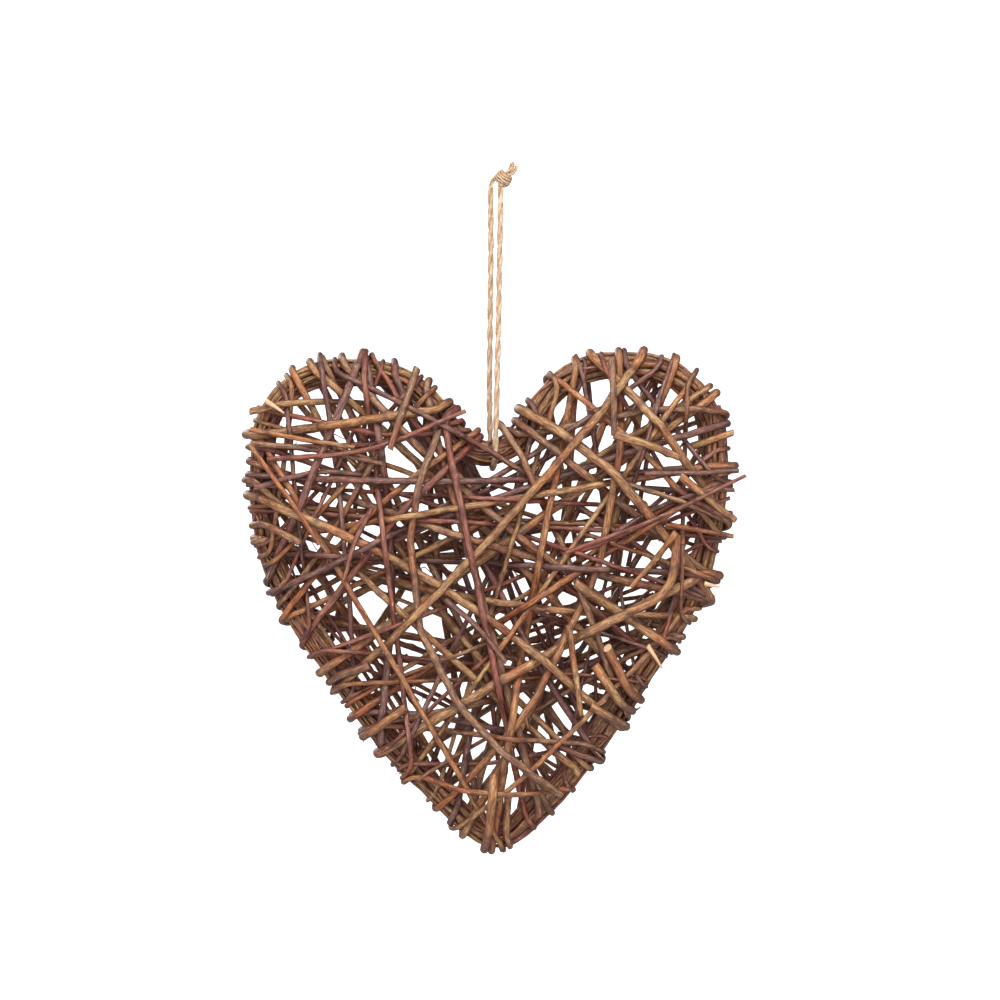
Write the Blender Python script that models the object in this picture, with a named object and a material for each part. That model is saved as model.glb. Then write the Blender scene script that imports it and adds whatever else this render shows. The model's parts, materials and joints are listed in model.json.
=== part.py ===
"""Wicker heart ornament: a heart-shaped rim of willow rods bound round a steel wire, wound on both
faces with long willow rods, and hung from a loop of jute twine. Front is -Y and up is +Z; the
origin is the point that hangs, inside the top of the twine loop."""

import math
from collections import namedtuple

import bmesh
import bpy
import numpy as np

MM = 0.001

# Rim, measured along the middle of its bundle
RIM_WIDTH = 232.5 * MM
RIM_HEIGHT = 236 * MM
NOTCH_ROUNDING = 22 * MM
SHOULDER_ROUNDING = 40 * MM
LOBE_ROUNDING = 47 * MM
SIDE_ROUNDING = 130 * MM
LOWER_ROUNDING = 80 * MM
TIP_ROUNDING = 14.5 * MM
WIRE_RADIUS = 1.3 * MM
RIM_RODS = 6
RIM_ROD_RADIUS = 1.75 * MM
RIM_TWIST_TURNS = 1
RIM_ROD_END_GAP = 3 * MM

# Weaving
HOLLOW_HALF_DEPTH = 2.4 * MM
BUTT_TO_TIP_TAPER = 0.24
TUCK_ANGLE = 100
MOST_DRIFT = 0.35
CUT_OVERHANG = 5 * MM
LEAST_BACK_ANGLE = 75
NOTCH_CLEARANCE = 8 * MM
MOST_FRONT_SHIFT = 4 * MM
MOST_BACK_SHIFT = 14 * MM
SHIFT_PRICE = 0.3
TWINE_PLACE = 9 * MM
INNER_LEVEL = 5 * MM
OUTER_LEVEL = 15 * MM
TOP_LEVEL = 38 * MM
HIGHER_TOP = 10 * MM
LEVEL_STEP = 0.5 * MM
OFF_PRICE = 0.25
RIM_OFF_PRICE = 4.0
CHANGE_PRICE = 3.0
STEEPEST_STEP = 2.5 * MM
BOWS_TRIED = [0.0, 2.5 * MM, -2.5 * MM, 5 * MM, -5 * MM]
PULLS = 600
PULL_TO_WANTED = 0.001
RIM_PULL_TO_WANTED = 0.3
BLOCKED_PRICE = 1e5
FLAT_WAY = 0.99

# Twine
TWINE_RADIUS = 1.25 * MM
LOOP_DROP = 133 * MM
KNOT_WIDTH = 8 * MM
KNOT_HEIGHT = 7 * MM

# Fits and facets
GAP = 0.3 * MM
BEND_GAP = 0.45 * MM
RIM_STRAY = 0.7 * MM
STRAY = 2.5 * MM
SAMPLE_ERROR = 0.45 * MM
WRAP_EASE = 0.6 * MM
SAMPLE_STEP = 1.6 * MM
OUTLINE_STEP = 1 * MM
LONGEST_STRETCH = 60
SIDES = 5

# Tones of the bark and the other finishes: base colour, roughness, metallic
FINISHES = {
    "plum": ((0.070, 0.030, 0.026), 0.55, 0.0),
    "red": ((0.195, 0.058, 0.032), 0.5, 0.0),
    "orange": ((0.345, 0.125, 0.036), 0.5, 0.0),
    "tan": ((0.380, 0.190, 0.070), 0.55, 0.0),
    "olive": ((0.195, 0.105, 0.045), 0.6, 0.0),
    "rim": ((0.270, 0.150, 0.060), 0.6, 0.0),
    "steel": ((0.560, 0.570, 0.580), 0.35, 1.0),
    "jute": ((0.640, 0.430, 0.200), 0.9, 0.0),
}

# The winding, innermost rod first. A rod starts at one clock angle round the rim, crosses the front
# to the next, wraps round the rim there and crosses the back. Angles are degrees clockwise from the
# notch, seen from the front. Bow is how far the front run is bent to the right of its own way. A rod
# starts tucked round the rim, or where it is cut off just past it.
Rod = namedtuple("Rod", "start end thickness bow tone cut", defaults=[False])
WINDING = [
    Rod(190, 13, 3.6, 0, "plum"),
    Rod(324, 166, 3.8, 0, "olive"),
    Rod(223, 101, 4.0, 0, "olive"),
    Rod(123, 322, 4.6, 0, "tan", True),
    Rod(38, 186, 4.8, 0, "tan"),
    Rod(336, 147, 4.0, 0, "plum"),
    Rod(45, 266, 3.5, 0, "tan"),
    Rod(248, 47, 5.0, 0, "tan"),
    Rod(52, 273, 4.0, 0, "plum"),
    Rod(303, 345, 3.2, 8, "red"),
    Rod(318, 152, 4.0, 6, "tan"),
    Rod(168, 341, 4.4, -4, "olive", True),
    Rod(339, 271, 3.5, 0, "olive"),
    Rod(10, 50, 3.8, 0, "olive"),
    Rod(310, 347, 3.0, 0, "red"),
    Rod(327, 103, 4.5, 10, "olive"),
    Rod(89, 300, 4.6, 0, "olive"),
    Rod(74, 291, 2.8, 0, "red"),
    Rod(229, 150, 3.5, 0, "plum"),
    Rod(220, 331, 4.2, 6, "plum", True),
    Rod(112, 332, 3.2, -5, "red", True),
    Rod(283, 95, 4.2, 5, "tan"),
    Rod(298, 59, 3.8, 8, "plum"),
    Rod(351, 260, 4.0, 0, "red"),
    Rod(61, 234, 2.8, 0, "orange"),
    Rod(29, 193, 4.2, -22, "orange"),
    Rod(182, 20, 4.2, 3, "orange"),
    Rod(72, 17, 3.5, 0, "tan", True),
    Rod(8, 129, 4.0, 0, "olive"),
    Rod(42, 207, 3.0, 0, "tan"),
    Rod(154, 296, 4.0, 0, "tan", True),
    Rod(11, 81, 4.5, 0, "olive"),
    Rod(24, 69, 4.8, 0, "tan"),
    Rod(13, 86, 5.5, -4, "tan"),
    Rod(215, 82, 5.6, 0, "tan"),
    Rod(64, 251, 2.8, 0, "red"),
    Rod(303, 180, 3.3, -5, "orange"),
    Rod(329, 278, 4.5, 3, "plum"),
    Rod(347, 268, 3.6, 4, "orange"),
    Rod(164, 345, 4.3, -36, "olive", True),
    Rod(92, 187, 3.0, 0, "tan"),
    Rod(204, 160, 3.0, 1, "orange"),
    Rod(295, 136, 5.0, -6, "tan"),
    Rod(31, 238, 4.8, -7, "tan"),
]


def rounded_outline(corners):
    """Closed polygon with rounded corners as points one step apart. Each corner is a circular arc
    from one side to the next, with its centre on the line that halves the corner."""
    points = []
    for index, (corner, rounding) in enumerate(corners):
        before = corners[index - 1][0] - corner
        after = corners[(index + 1) % len(corners)][0] - corner
        room = 0.49 * min(np.linalg.norm(before), np.linalg.norm(after))
        before = before / np.linalg.norm(before)
        after = after / np.linalg.norm(after)
        half = 0.5 * math.acos(float(before @ after))
        reach = min(rounding / math.tan(half), room)
        radius = reach * math.tan(half)
        middle = (before + after) / np.linalg.norm(before + after)
        centre = corner + middle * radius / math.sin(half)
        first = corner + before * reach - centre
        last = corner + after * reach - centre
        turn = math.pi - 2 * half
        share = np.linspace(0, 1, max(4, math.ceil(radius * turn / OUTLINE_STEP)))[:, None]
        arc = (np.sin((1 - share) * turn) * first + np.sin(share * turn) * last) / math.sin(turn)
        points.append(centre + arc)
    points = np.concatenate(points)
    points = np.concatenate([points, points[:1]])
    along = np.concatenate([[0], np.cumsum(np.linalg.norm(np.diff(points, axis=0), axis=1))])
    steps = np.linspace(0, along[-1], math.ceil(along[-1] / OUTLINE_STEP) + 1)
    return steps, np.stack([np.interp(steps, along, points[:, axis]) for axis in (0, 1)], axis=1)


def rim_corners():
    """The heart's corners, clockwise from the notch, as shares of half the width and the height. The
    rim is bent by hand, so its two sides differ a little."""
    around = [
        (0.0, 0.278, NOTCH_ROUNDING),
        (0.283, 0.009, SHOULDER_ROUNDING),
        (0.930, 0.0, LOBE_ROUNDING),
        (0.982, 0.408, SIDE_ROUNDING),
        (0.327, 0.872, LOWER_ROUNDING),
        (0.017, 1.03, TIP_ROUNDING),
        (-0.467, 0.797, LOWER_ROUNDING),
        (-1.018, 0.412, SIDE_ROUNDING),
        (-0.969, 0.011, LOBE_ROUNDING),
        (-0.351, 0.023, SHOULDER_ROUNDING),
    ]
    return [
        (np.array([across * RIM_WIDTH / 2, -down * RIM_HEIGHT]), rounding)
        for across, down, rounding in around
    ]


class Rim:
    """The middle line of the rim: a station is a length along it, clockwise from the notch."""

    def __init__(self):
        self.stations, flat = rounded_outline(rim_corners())
        notch = np.argmin(np.abs(flat[:, 0]) + (flat[:, 1] < -RIM_HEIGHT / 2))
        self.length = self.stations[-1]
        flat = np.roll(flat[:-1], -notch, axis=0)
        flat = np.concatenate([flat, flat[:1]])
        self.top = -LOOP_DROP - flat[0, 1]
        self.points = flat + [0, self.top]
        step = np.roll(flat[:-1], -1, axis=0) - np.roll(flat[:-1], 1, axis=0)
        step = np.concatenate([step, step[:1]])
        self.tangents = step / np.linalg.norm(step, axis=1)[:, None]
        middle = self.top - RIM_HEIGHT / 2
        clock = np.degrees(np.arctan2(self.points[:, 0], self.points[:, 1] - middle)) % 360
        clock[0] = 0
        clock[-1] = 360
        self.clock = clock

    def at_clock(self, degrees):
        return float(np.interp(degrees % 360, self.clock, self.stations))

    def read(self, table, stations):
        turned = np.asarray(stations) % self.length
        return np.stack([np.interp(turned, self.stations, table[:, axis]) for axis in (0, 1)], -1)

    def place(self, stations):
        """Point, way along and way out of the rim at some stations, all in the plane of the heart."""
        along = self.read(self.tangents, stations)
        along = along / np.linalg.norm(along, axis=-1, keepdims=True)
        out = np.stack([-along[..., 1], along[..., 0]], axis=-1)
        return self.read(self.points, stations), along, out


def in_space(flat, depth=0.0):
    """Points of the heart's plane as points in space, at a depth behind it."""
    return np.stack([flat[..., 0], np.full(flat.shape[:-1], depth), flat[..., 1]], axis=-1)


def strays(points, first, last):
    """How far the points between two of a line are from the straight stretch that joins the two."""
    chord = points[last] - points[first]
    offsets = points[first + 1 : last] - points[first]
    share = np.clip(offsets @ chord / max(chord @ chord, 1e-18), 0, 1)
    return np.linalg.norm(offsets - share[:, None] * chord, axis=1)


def longest_stretches(points, stray, fits=lambda first, last: True):
    """Which points a broken line keeps. From each kept point the next is as far on as the line
    between them can be straight: no point strays further from it than allowed, and it fits."""
    keep = [0]
    while keep[-1] < len(points) - 1:
        first = keep[-1]
        furthest = first + 1
        while furthest < min(first + LONGEST_STRETCH, len(points) - 1):
            if strays(points, first, furthest + 1).max() > stray:
                break
            furthest += 1
        while furthest > first + 1 and not fits(first, furthest):
            furthest -= 1
        keep.append(furthest)
    return np.array(keep)


def clear_points(points, radii, placed_points, placed_radii):
    """Which points a weaving rod keeps, so that its straight stretches stay off what is wound."""
    reach = 4 * radii.max() + 2 * STRAY
    apart = np.linalg.norm(placed_points[:, None] - points[None, ::3], axis=2).min(axis=1)
    close = apart < reach + placed_radii
    near_points = placed_points[close]
    near_radii = placed_radii[close]

    def fits(first, last):
        chord = points[last] - points[first]
        offsets = near_points - points[first]
        share = np.clip(offsets @ chord / (chord @ chord), 0, 1)
        apart = np.linalg.norm(offsets - share[:, None] * chord, axis=1) - near_radii
        return bool(apart.min() > max(radii[first], radii[last]) + BEND_GAP)

    return longest_stretches(points, STRAY, fits)


def resampled(points, radii):
    """The same broken line with its points no more than a sample step apart."""
    dense = []
    thickness = []
    for start, end, first, last in zip(points[:-1], points[1:], radii[:-1], radii[1:]):
        count = max(1, math.ceil(np.linalg.norm(end - start) / SAMPLE_STEP))
        share = np.arange(count)[:, None] / count
        dense.append(start + share * (end - start))
        thickness.append(first + share[:, 0] * (last - first))
    return np.concatenate([*dense, points[-1:]]), np.concatenate([*thickness, radii[-1:]])


def chord_points(start, end, bow):
    """Straight run in the heart's plane, bent sideways by a parabola that is deepest halfway."""
    way = end - start
    side = np.array([way[1], -way[0]]) / np.linalg.norm(way)
    share = np.linspace(0, 1, max(4, math.ceil(np.linalg.norm(way) / SAMPLE_STEP)))[:, None]
    return start + share * way + side * bow * 4 * share * (1 - share)


def slope_on_rim(rim, station, way):
    """How far a run that crosses the rim moves along it for each step outwards, up to 45 degrees."""
    _, along, out = rim.place(station)
    across = abs(float(way @ out))
    return float(np.clip(float(way @ along) / max(across, 1e-6), -MOST_DRIFT, MOST_DRIFT))


def rod_stations(rim, rod, number, places):
    """Where a rod starts, wraps round the rim and ends, as lengths along the rim."""
    width = rod.thickness * MM
    first = places.nearest(rod.start, width, MOST_FRONT_SHIFT)
    second = places.nearest(rod.end, width, MOST_FRONT_SHIFT)
    third = places.nearest(back_clock(rim, rod, number), width, MOST_BACK_SHIFT)
    return first, second, third


def rod_route(rim, rod, stations, more_bow):
    """One rod before it is lifted clear of the others: points in the heart's plane, the way that is
    out of the weave at each, and whether it lies on the rim. The front and back runs lie in the
    plane, and a wrap turns the way out from the front, past the rim's edge, to the back."""
    wrap_radius = 2 * RIM_ROD_RADIUS + WIRE_RADIUS + 2 * GAP + 0.5 * rod.thickness * MM
    turn_step = SAMPLE_STEP / wrap_radius
    first, second, third = stations
    front_bow = rod.bow * MM + more_bow
    front = chord_points(rim.place(first)[0], rim.place(second)[0], front_bow)
    leave_front = slope_on_rim(rim, second, front[-1] - front[-2])
    back_way = rim.place(third)[0] - rim.place(second)[0]
    join_back = slope_on_rim(rim, second, back_way)
    turns = np.linspace(0, math.pi, math.ceil(math.pi / turn_step) + 1)
    share = turns / math.pi
    drift = leave_front * (share - share**2 / 2) + join_back * share**2 / 2
    wrap_stations = second + wrap_radius * math.pi * drift
    back = chord_points(rim.place(wrap_stations[-1])[0], rim.place(third)[0], more_bow)

    base = []
    outward = []
    if rod.cut:
        outside = front[0] - front[1]
        outside = outside / np.linalg.norm(outside)
        overhang = np.arange(CUT_OVERHANG, 0, -SAMPLE_STEP)[:, None]
        base.append(front[0] + overhang * outside)
        outward.append(np.tile([0.0, -1.0, 0.0], (len(overhang), 1)))
    else:
        tucked = np.radians(TUCK_ANGLE)
        turned = np.linspace(tucked, 0, math.ceil(tucked / turn_step) + 1)[:-1]
        enter = slope_on_rim(rim, first, front[1] - front[0])
        hook_stations = first - wrap_radius * enter * (turned - turned**2 / (2 * tucked))
        points, _, out = rim.place(hook_stations)
        base.append(points)
        outward.append(in_space(np.sin(turned)[:, None] * out) - np.cos(turned)[:, None] * [0, 1, 0])
    base.append(front)
    outward.append(np.tile([0.0, -1.0, 0.0], (len(front), 1)))
    points, _, out = rim.place(wrap_stations[1:-1])
    middle = turns[1:-1, None]
    base.append(points)
    outward.append(in_space(np.sin(middle) * out) - np.cos(middle) * [0, 1, 0])
    base.append(back)
    outward.append(np.tile([0.0, 1.0, 0.0], (len(back), 1)))
    outside = back[-1] - back[-2]
    outside = outside / np.linalg.norm(outside)
    overhang = np.arange(SAMPLE_STEP, CUT_OVERHANG, SAMPLE_STEP)[:, None]
    base.append(back[-1] + overhang * outside)
    outward.append(np.tile([0.0, 1.0, 0.0], (len(overhang), 1)))
    return in_space(np.concatenate(base)), np.concatenate(outward)


def crosses_notch(rim, first, second):
    """Whether a straight run between two stations passes over the open V above the notch."""
    (left, low), (right, high) = rim.place(first)[0], rim.place(second)[0]
    if left * right >= 0:
        return False
    return low + (high - low) * left / (left - right) > -LOOP_DROP - NOTCH_CLEARANCE


class FreePlaces:
    """Places round the rim that are taken, so that a rod's wrap can be shifted to lie beside the
    others and not on them."""

    def __init__(self, rim):
        self.rim = rim
        self.middles = []
        self.widths = []

    def nearest(self, clock, width, most_shift):
        """The station near a clock angle that overlaps the taken ones least for a small shift."""
        wanted = self.rim.at_clock(clock)
        shifts = np.linspace(-most_shift, most_shift, 2 * round(most_shift / MM) + 1)
        price = SHIFT_PRICE * np.abs(shifts)
        for middle, taken in zip(self.middles, self.widths):
            apart = np.abs((wanted + shifts - middle + self.rim.length / 2) % self.rim.length)
            apart = np.abs(apart - self.rim.length / 2)
            price = price + np.maximum(0.5 * (width + taken) + GAP - apart, 0)
        station = wanted + shifts[price.argmin()]
        self.middles.append(station)
        self.widths.append(width)
        return station


def back_clock(rim, rod, number):
    """Where the back run ends: steps of the golden angle spread the ends evenly, and a run that
    would be too short, or would cross the open V, is sent to another side."""
    for turned in (0, 180, 90, 270, 135, 225):
        clock = (20 + 137.5 * number + turned) % 360
        apart = abs((clock - rod.end + 180) % 360 - 180)
        far = apart > LEAST_BACK_ANGLE
        if far and not crosses_notch(rim, rim.at_clock(rod.end), rim.at_clock(clock)):
            return clock
    return clock


def wanted_heights(facing, rank, rim_level):
    """Where a rod would like to lie: tight round the rim, and over each face on a low dome that is
    flat for the first rods wound and highest for the last."""
    middle = INNER_LEVEL + rank * (OUTER_LEVEL - INNER_LEVEL)
    wanted = np.full(len(facing), rim_level)
    edges = np.flatnonzero(np.diff(np.concatenate([[0], facing.astype(int), [0]])))
    for first, last in zip(edges[::2], edges[1::2]):
        share = np.linspace(0, 1, last - first)
        wanted[first:last] += (middle - rim_level) * 4 * share * (1 - share)
    return wanted


def taken_spans(base, outward, radii, placed_points, placed_radii):
    """Which stretches of the line out of each base point are taken. A placed point that is nearer
    the line than the two radii and the clearance takes a stretch of it, by a right triangle."""
    spans = []
    for foot, way, radius in zip(base, outward, radii):
        offsets = placed_points - foot
        rise = offsets @ way
        aside = np.einsum("ij,ij->i", offsets, offsets) - rise**2
        reach = (placed_radii + radius + GAP + SAMPLE_ERROR) ** 2
        near = aside < reach
        half = np.sqrt(reach[near] - aside[near])
        spans.append(np.stack([rise[near] - half, rise[near] + half], axis=1))
    return spans


def threaded_heights(wanted, facing, spans, levels):
    """The cheapest way past what is already wound. Each step may stay level or go a few levels up
    or down; being off the wanted height costs its square, most of all on the rim, and so does each
    change of level. Solved step by step from one end, then read back from the other. It gives the
    price too, which is over one blocked place's where the way isn't free."""
    taken = [
        ((levels[:, None] > span[:, 0]) & (levels[:, None] < span[:, 1])).any(axis=1) for span in spans
    ]
    off = (levels[None, :] - wanted[:, None]) / MM
    off_price = np.where(facing, OFF_PRICE, RIM_OFF_PRICE)[:, None]
    price = off_price * off**2 + np.where(taken, BLOCKED_PRICE, 0.0)
    total = price[0]
    came_from = []
    most = max(1, round(STEEPEST_STEP / LEVEL_STEP))
    shifts = np.arange(-most, most + 1)
    for row in price[1:]:
        padded = np.pad(total, most, constant_values=np.inf)
        choices = np.stack([
            padded[most + shift :][: len(total)] + CHANGE_PRICE * shift**2
            for shift in shifts
        ])
        best = choices.argmin(axis=0)
        came_from.append(shifts[best])
        total = choices.min(axis=0) + row
    level = int(total.argmin())
    least = float(total[level])
    chosen = [level]
    for shift in reversed(came_from):
        level += int(shift[level])
        chosen.append(level)
    return levels[np.array(chosen[::-1])], least


def pulled_taut(heights, wanted, facing, spans, floor, top):
    """The same way past the others with the rod pulled taut: each point moves to the middle of its
    neighbours, and towards where it would like to lie, as far as the rods over and under it let it."""
    low = np.array([
        max([floor, *span[span[:, 1] <= height + 1e-7, 1]]) for height, span in zip(heights, spans)
    ])
    high = np.array([
        min([top, *span[span[:, 0] >= height - 1e-7, 0]]) for height, span in zip(heights, spans)
    ])
    low = np.minimum(low, heights)
    high = np.maximum(high, heights)
    pull = np.where(facing, PULL_TO_WANTED, RIM_PULL_TO_WANTED)
    for _ in range(PULLS):
        middle = 0.5 * (np.append(heights[1:], heights[-1]) + np.append(heights[0], heights[:-1]))
        heights = np.clip(middle + pull * (wanted - middle), low, high)
    return heights


def found_way(rim, rod, stations, more_bow, rank, bundle_radius, placed_points, placed_radii):
    """A rod's price, heights, points in the plane, ways out and radii, with its runs bent a little
    more. Where the rods already wound leave no way under the top level, it goes on above it."""
    base, outward = rod_route(rim, rod, stations, more_bow)
    facing = np.abs(outward[:, 1]) > FLAT_WAY
    radii = rod_radii(rod, len(base))
    rim_level = bundle_radius + GAP + WRAP_EASE + radii.mean()
    wanted = wanted_heights(facing, rank, rim_level)
    spans = taken_spans(base, outward, radii, placed_points, placed_radii)
    highest = max(float(span.max(initial=0)) for span in spans) + 2 * STEEPEST_STEP
    for top in (TOP_LEVEL, TOP_LEVEL + HIGHER_TOP, highest):
        levels = np.arange(HOLLOW_HALF_DEPTH + radii.max(), max(top, TOP_LEVEL), LEVEL_STEP)
        heights, price = threaded_heights(wanted, facing, spans, levels)
        if price < BLOCKED_PRICE:
            break
    heights = pulled_taut(heights, wanted, facing, spans, levels[0], levels[-1])
    return price, heights, base, outward, radii


def rod_radii(rod, count):
    share = np.linspace(0, 1, count)
    return 0.5 * rod.thickness * MM * (1 + BUTT_TO_TIP_TAPER * (0.5 - share))


def finish(name):
    material = bpy.data.materials.get(name)
    if material is None:
        colour, roughness, metallic = FINISHES[name]
        material = bpy.data.materials.new(name)
        material.use_nodes = True
        shader = material.node_tree.nodes["Principled BSDF"]
        shader.inputs["Base Color"].default_value = (*colour, 1)
        shader.inputs["Roughness"].default_value = roughness
        shader.inputs["Metallic"].default_value = metallic
    return material


def section(sides, helpers):
    """Hidden outline of a rod's section, one unit in radius, shared by every tube of so many sides."""
    name = f"section_{sides}"
    found = bpy.data.objects.get(name)
    if found is not None:
        return found
    curve = bpy.data.curves.new(name, "CURVE")
    curve.dimensions = "2D"
    spline = curve.splines.new("POLY")
    spline.points.add(sides - 1)
    for point, turn in zip(spline.points, np.arange(sides) * 2 * math.pi / sides):
        point.co = (math.cos(turn), -math.sin(turn), 0, 1)
    spline.use_cyclic_u = True
    outline = bpy.data.objects.new(name, curve)
    outline.hide_render = True
    helpers.objects.link(outline)
    return outline


def tube(name, points, radii, tone, collection, helpers, sides=SIDES, closed=False):
    """Round rod along a broken line, thick as its radii say."""
    curve = bpy.data.curves.new(name, "CURVE")
    curve.dimensions = "3D"
    curve.bevel_mode = "OBJECT"
    curve.bevel_object = section(sides, helpers)
    curve.use_fill_caps = not closed
    spline = curve.splines.new("POLY")
    spline.points.add(len(points) - 1)
    for point, place, radius in zip(spline.points, points, radii):
        point.co = (*place, 1)
        point.radius = radius
    spline.use_cyclic_u = closed
    curve.materials.append(finish(tone))
    obj = bpy.data.objects.new(name, curve)
    collection.objects.link(obj)
    return obj


def rim_bundle(rim, collection, helpers):
    """Steel wire along the rim's middle line, with rods laid side by side round it, slowly twisted.
    Each rod starts one share of the rim further on than the last, and ends just before its start."""
    closed_line = in_space(rim.points)
    kept = longest_stretches(closed_line, RIM_STRAY)[:-1]
    stations = rim.stations[kept]
    wire = np.full(len(kept), WIRE_RADIUS)
    tube("wire_frame", closed_line[kept], wire, "steel", collection, helpers, closed=True)
    pitch = max(
        WIRE_RADIUS + GAP + RIM_ROD_RADIUS,
        (RIM_ROD_RADIUS + GAP / 2) / math.sin(math.pi / RIM_RODS),
    )
    for number in range(RIM_RODS):
        start = rim.length * number / RIM_RODS
        end = start + rim.length - RIM_ROD_END_GAP
        inner = np.concatenate([stations, stations + rim.length])
        inner = inner[(inner > start + RIM_ROD_END_GAP) & (inner < end - RIM_ROD_END_GAP)]
        laid = np.concatenate([[start], inner, [end]])
        points, _, out = rim.place(laid)
        turned = 2 * math.pi * (RIM_TWIST_TURNS * laid / rim.length + number / RIM_RODS)
        offset = in_space(np.cos(turned)[:, None] * out) + np.sin(turned)[:, None] * [0, 1, 0]
        line = in_space(points) + pitch * offset
        radii = np.full(len(laid), RIM_ROD_RADIUS)
        tube(f"rim_rod_{number + 1}", line, radii, "rim", collection, helpers)
    return closed_line[np.append(kept, kept[0])], pitch + RIM_ROD_RADIUS


def twine_route(bundle_radius):
    """The twine from the knot down the front, once round the rim at the notch, and back up."""
    ring = bundle_radius + GAP + TWINE_RADIUS
    down = [(3.2, -1.4, 0.3), (3.3, -1.8, -8), (2.9, -2.4, -30), (2.3, -4.0, -64), (1.4, -6.2, -104)]
    up = [(-2.3, 6.0, -104), (-1.9, 4.0, -64), (-1.6, 2.2, -30), (-1.7, 1.6, -8), (-1.6, 1.2, 0.3)]
    route = [np.array(point) * MM for point in down]
    for turn in np.radians(np.arange(0, 181, 30)):
        across = 0.6 * MM - 2.4 * MM * turn / math.pi
        route.append(np.array([across, -ring * math.cos(turn), -LOOP_DROP - ring * math.sin(turn)]))
    return route + [np.array(point) * MM for point in up]


def smooth_line(route, pieces):
    """Smooth curve through the route's points: each stretch is a cubic whose ends point along the
    line from the point before to the point after."""
    route = np.array([2 * route[0] - route[1], *route, 2 * route[-1] - route[-2]])
    share = np.linspace(0, 1, pieces, endpoint=False)[:, None]
    line = []
    for before, start, end, after in zip(route, route[1:], route[2:], route[3:]):
        first = 2 * start
        second = (end - before) * share
        third = (2 * before - 5 * start + 4 * end - after) * share**2
        fourth = (3 * start - before - 3 * end + after) * share**3
        line.append(0.5 * (first + second + third + fourth))
    return np.concatenate([*line, route[-2:-1]])


def meshed(obj, collection):
    """The same solid as a mesh with its caps joined on, so that it can be cut and joined."""
    bpy.context.view_layer.update()
    graph = bpy.context.evaluated_depsgraph_get()
    mesh = bpy.data.meshes.new_from_object(obj.evaluated_get(graph))
    work = bmesh.new()
    work.from_mesh(mesh)
    bmesh.ops.remove_doubles(work, verts=work.verts, dist=0.001 * MM)
    work.to_mesh(mesh)
    work.free()
    solid = bpy.data.objects.new(obj.name, mesh)
    solid.matrix_world = obj.matrix_world
    bpy.data.objects.remove(obj)
    solid.name = mesh.name
    collection.objects.link(solid)
    return solid


def knot(collection, helpers):
    """Overhand knot: a rounded lump with one turn round it and two short frayed tails."""
    middle = np.array([1.6 * MM, 0, KNOT_HEIGHT / 2 + 2 * GAP])
    bpy.ops.mesh.primitive_uv_sphere_add(segments=12, ring_count=8, radius=0.5, location=middle)
    lump = bpy.context.object
    lump.name = "twine_knot"
    lump.data.name = "twine_knot"
    lump.scale = (KNOT_WIDTH, 0.85 * KNOT_WIDTH, KNOT_HEIGHT)
    lump.data.materials.append(finish("jute"))
    for old in list(lump.users_collection):
        old.objects.unlink(lump)
    collection.objects.link(lump)
    tails = {"tail_left": (1.4, 0.2, 12.2), "tail_right": (6.4, -0.3, 9.6)}
    for name, tip in tails.items():
        tip = np.array(tip) * MM
        line = np.array([middle, 0.5 * (middle + tip) + [0, 0, 0.6 * MM], tip])
        tail = tube(name, line, np.full(3, TWINE_RADIUS), "jute", helpers, helpers)
        tail = meshed(tail, helpers)
        tail.hide_render = True
        tail.display_type = "WIRE"
        join = lump.modifiers.new(name, "BOOLEAN")
        join.operation = "UNION"
        join.object = tail


def build():
    for old in list(bpy.data.objects):
        bpy.data.objects.remove(old)
    collection = bpy.data.collections.new("wicker_heart")
    helpers = bpy.data.collections.new("helpers")
    bpy.context.scene.collection.children.link(collection)
    bpy.context.scene.collection.children.link(helpers)

    rim = Rim()
    rim_line, bundle_radius = rim_bundle(rim, collection, helpers)
    placed_points, placed_radii = resampled(rim_line, np.full(len(rim_line), bundle_radius))

    line = smooth_line(twine_route(bundle_radius), 2)
    radii = np.full(len(line), TWINE_RADIUS)
    tube("hanging_twine", line, radii, "jute", collection, helpers, sides=6)
    points, radii = resampled(line, radii)
    placed_points = np.concatenate([placed_points, points])
    placed_radii = np.concatenate([placed_radii, radii])
    knot(collection, helpers)

    places = FreePlaces(rim)
    places.nearest(0, TWINE_PLACE, 0)
    for number, rod in enumerate(WINDING):
        stations = rod_stations(rim, rod, number, places)
        rank = number / (len(WINDING) - 1)
        ways = [
            found_way(rim, rod, stations, more_bow, rank, bundle_radius, placed_points, placed_radii)
            for more_bow in BOWS_TRIED
        ]
        _, heights, base, outward, radii = min(ways, key=lambda way: way[0])
        points = base + outward * heights[:, None]
        kept = clear_points(points, radii, placed_points, placed_radii)
        name = f"weaving_rod_{number + 1:02d}"
        tube(name, points[kept], radii[kept], rod.tone, collection, helpers)
        points, radii = resampled(points[kept], radii[kept])
        placed_points = np.concatenate([placed_points, points])
        placed_radii = np.concatenate([placed_radii, radii])


build()
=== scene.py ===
# %% [markdown]
# # A wicker heart that hangs from a loop of twine
# The real thing is made of long, thin willow rods with their bark on. A bundle of rods round a steel
# wire is bent into a heart, and dozens more rods are wound over it, from rim to rim, across the front
# and the back. This lesson dresses the plain model of it: each rod gets a lumpy, streaky bark, thin
# rods and twigs fill the gaps, and the twine gets its plies and loose fibres.

import json
import math

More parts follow.
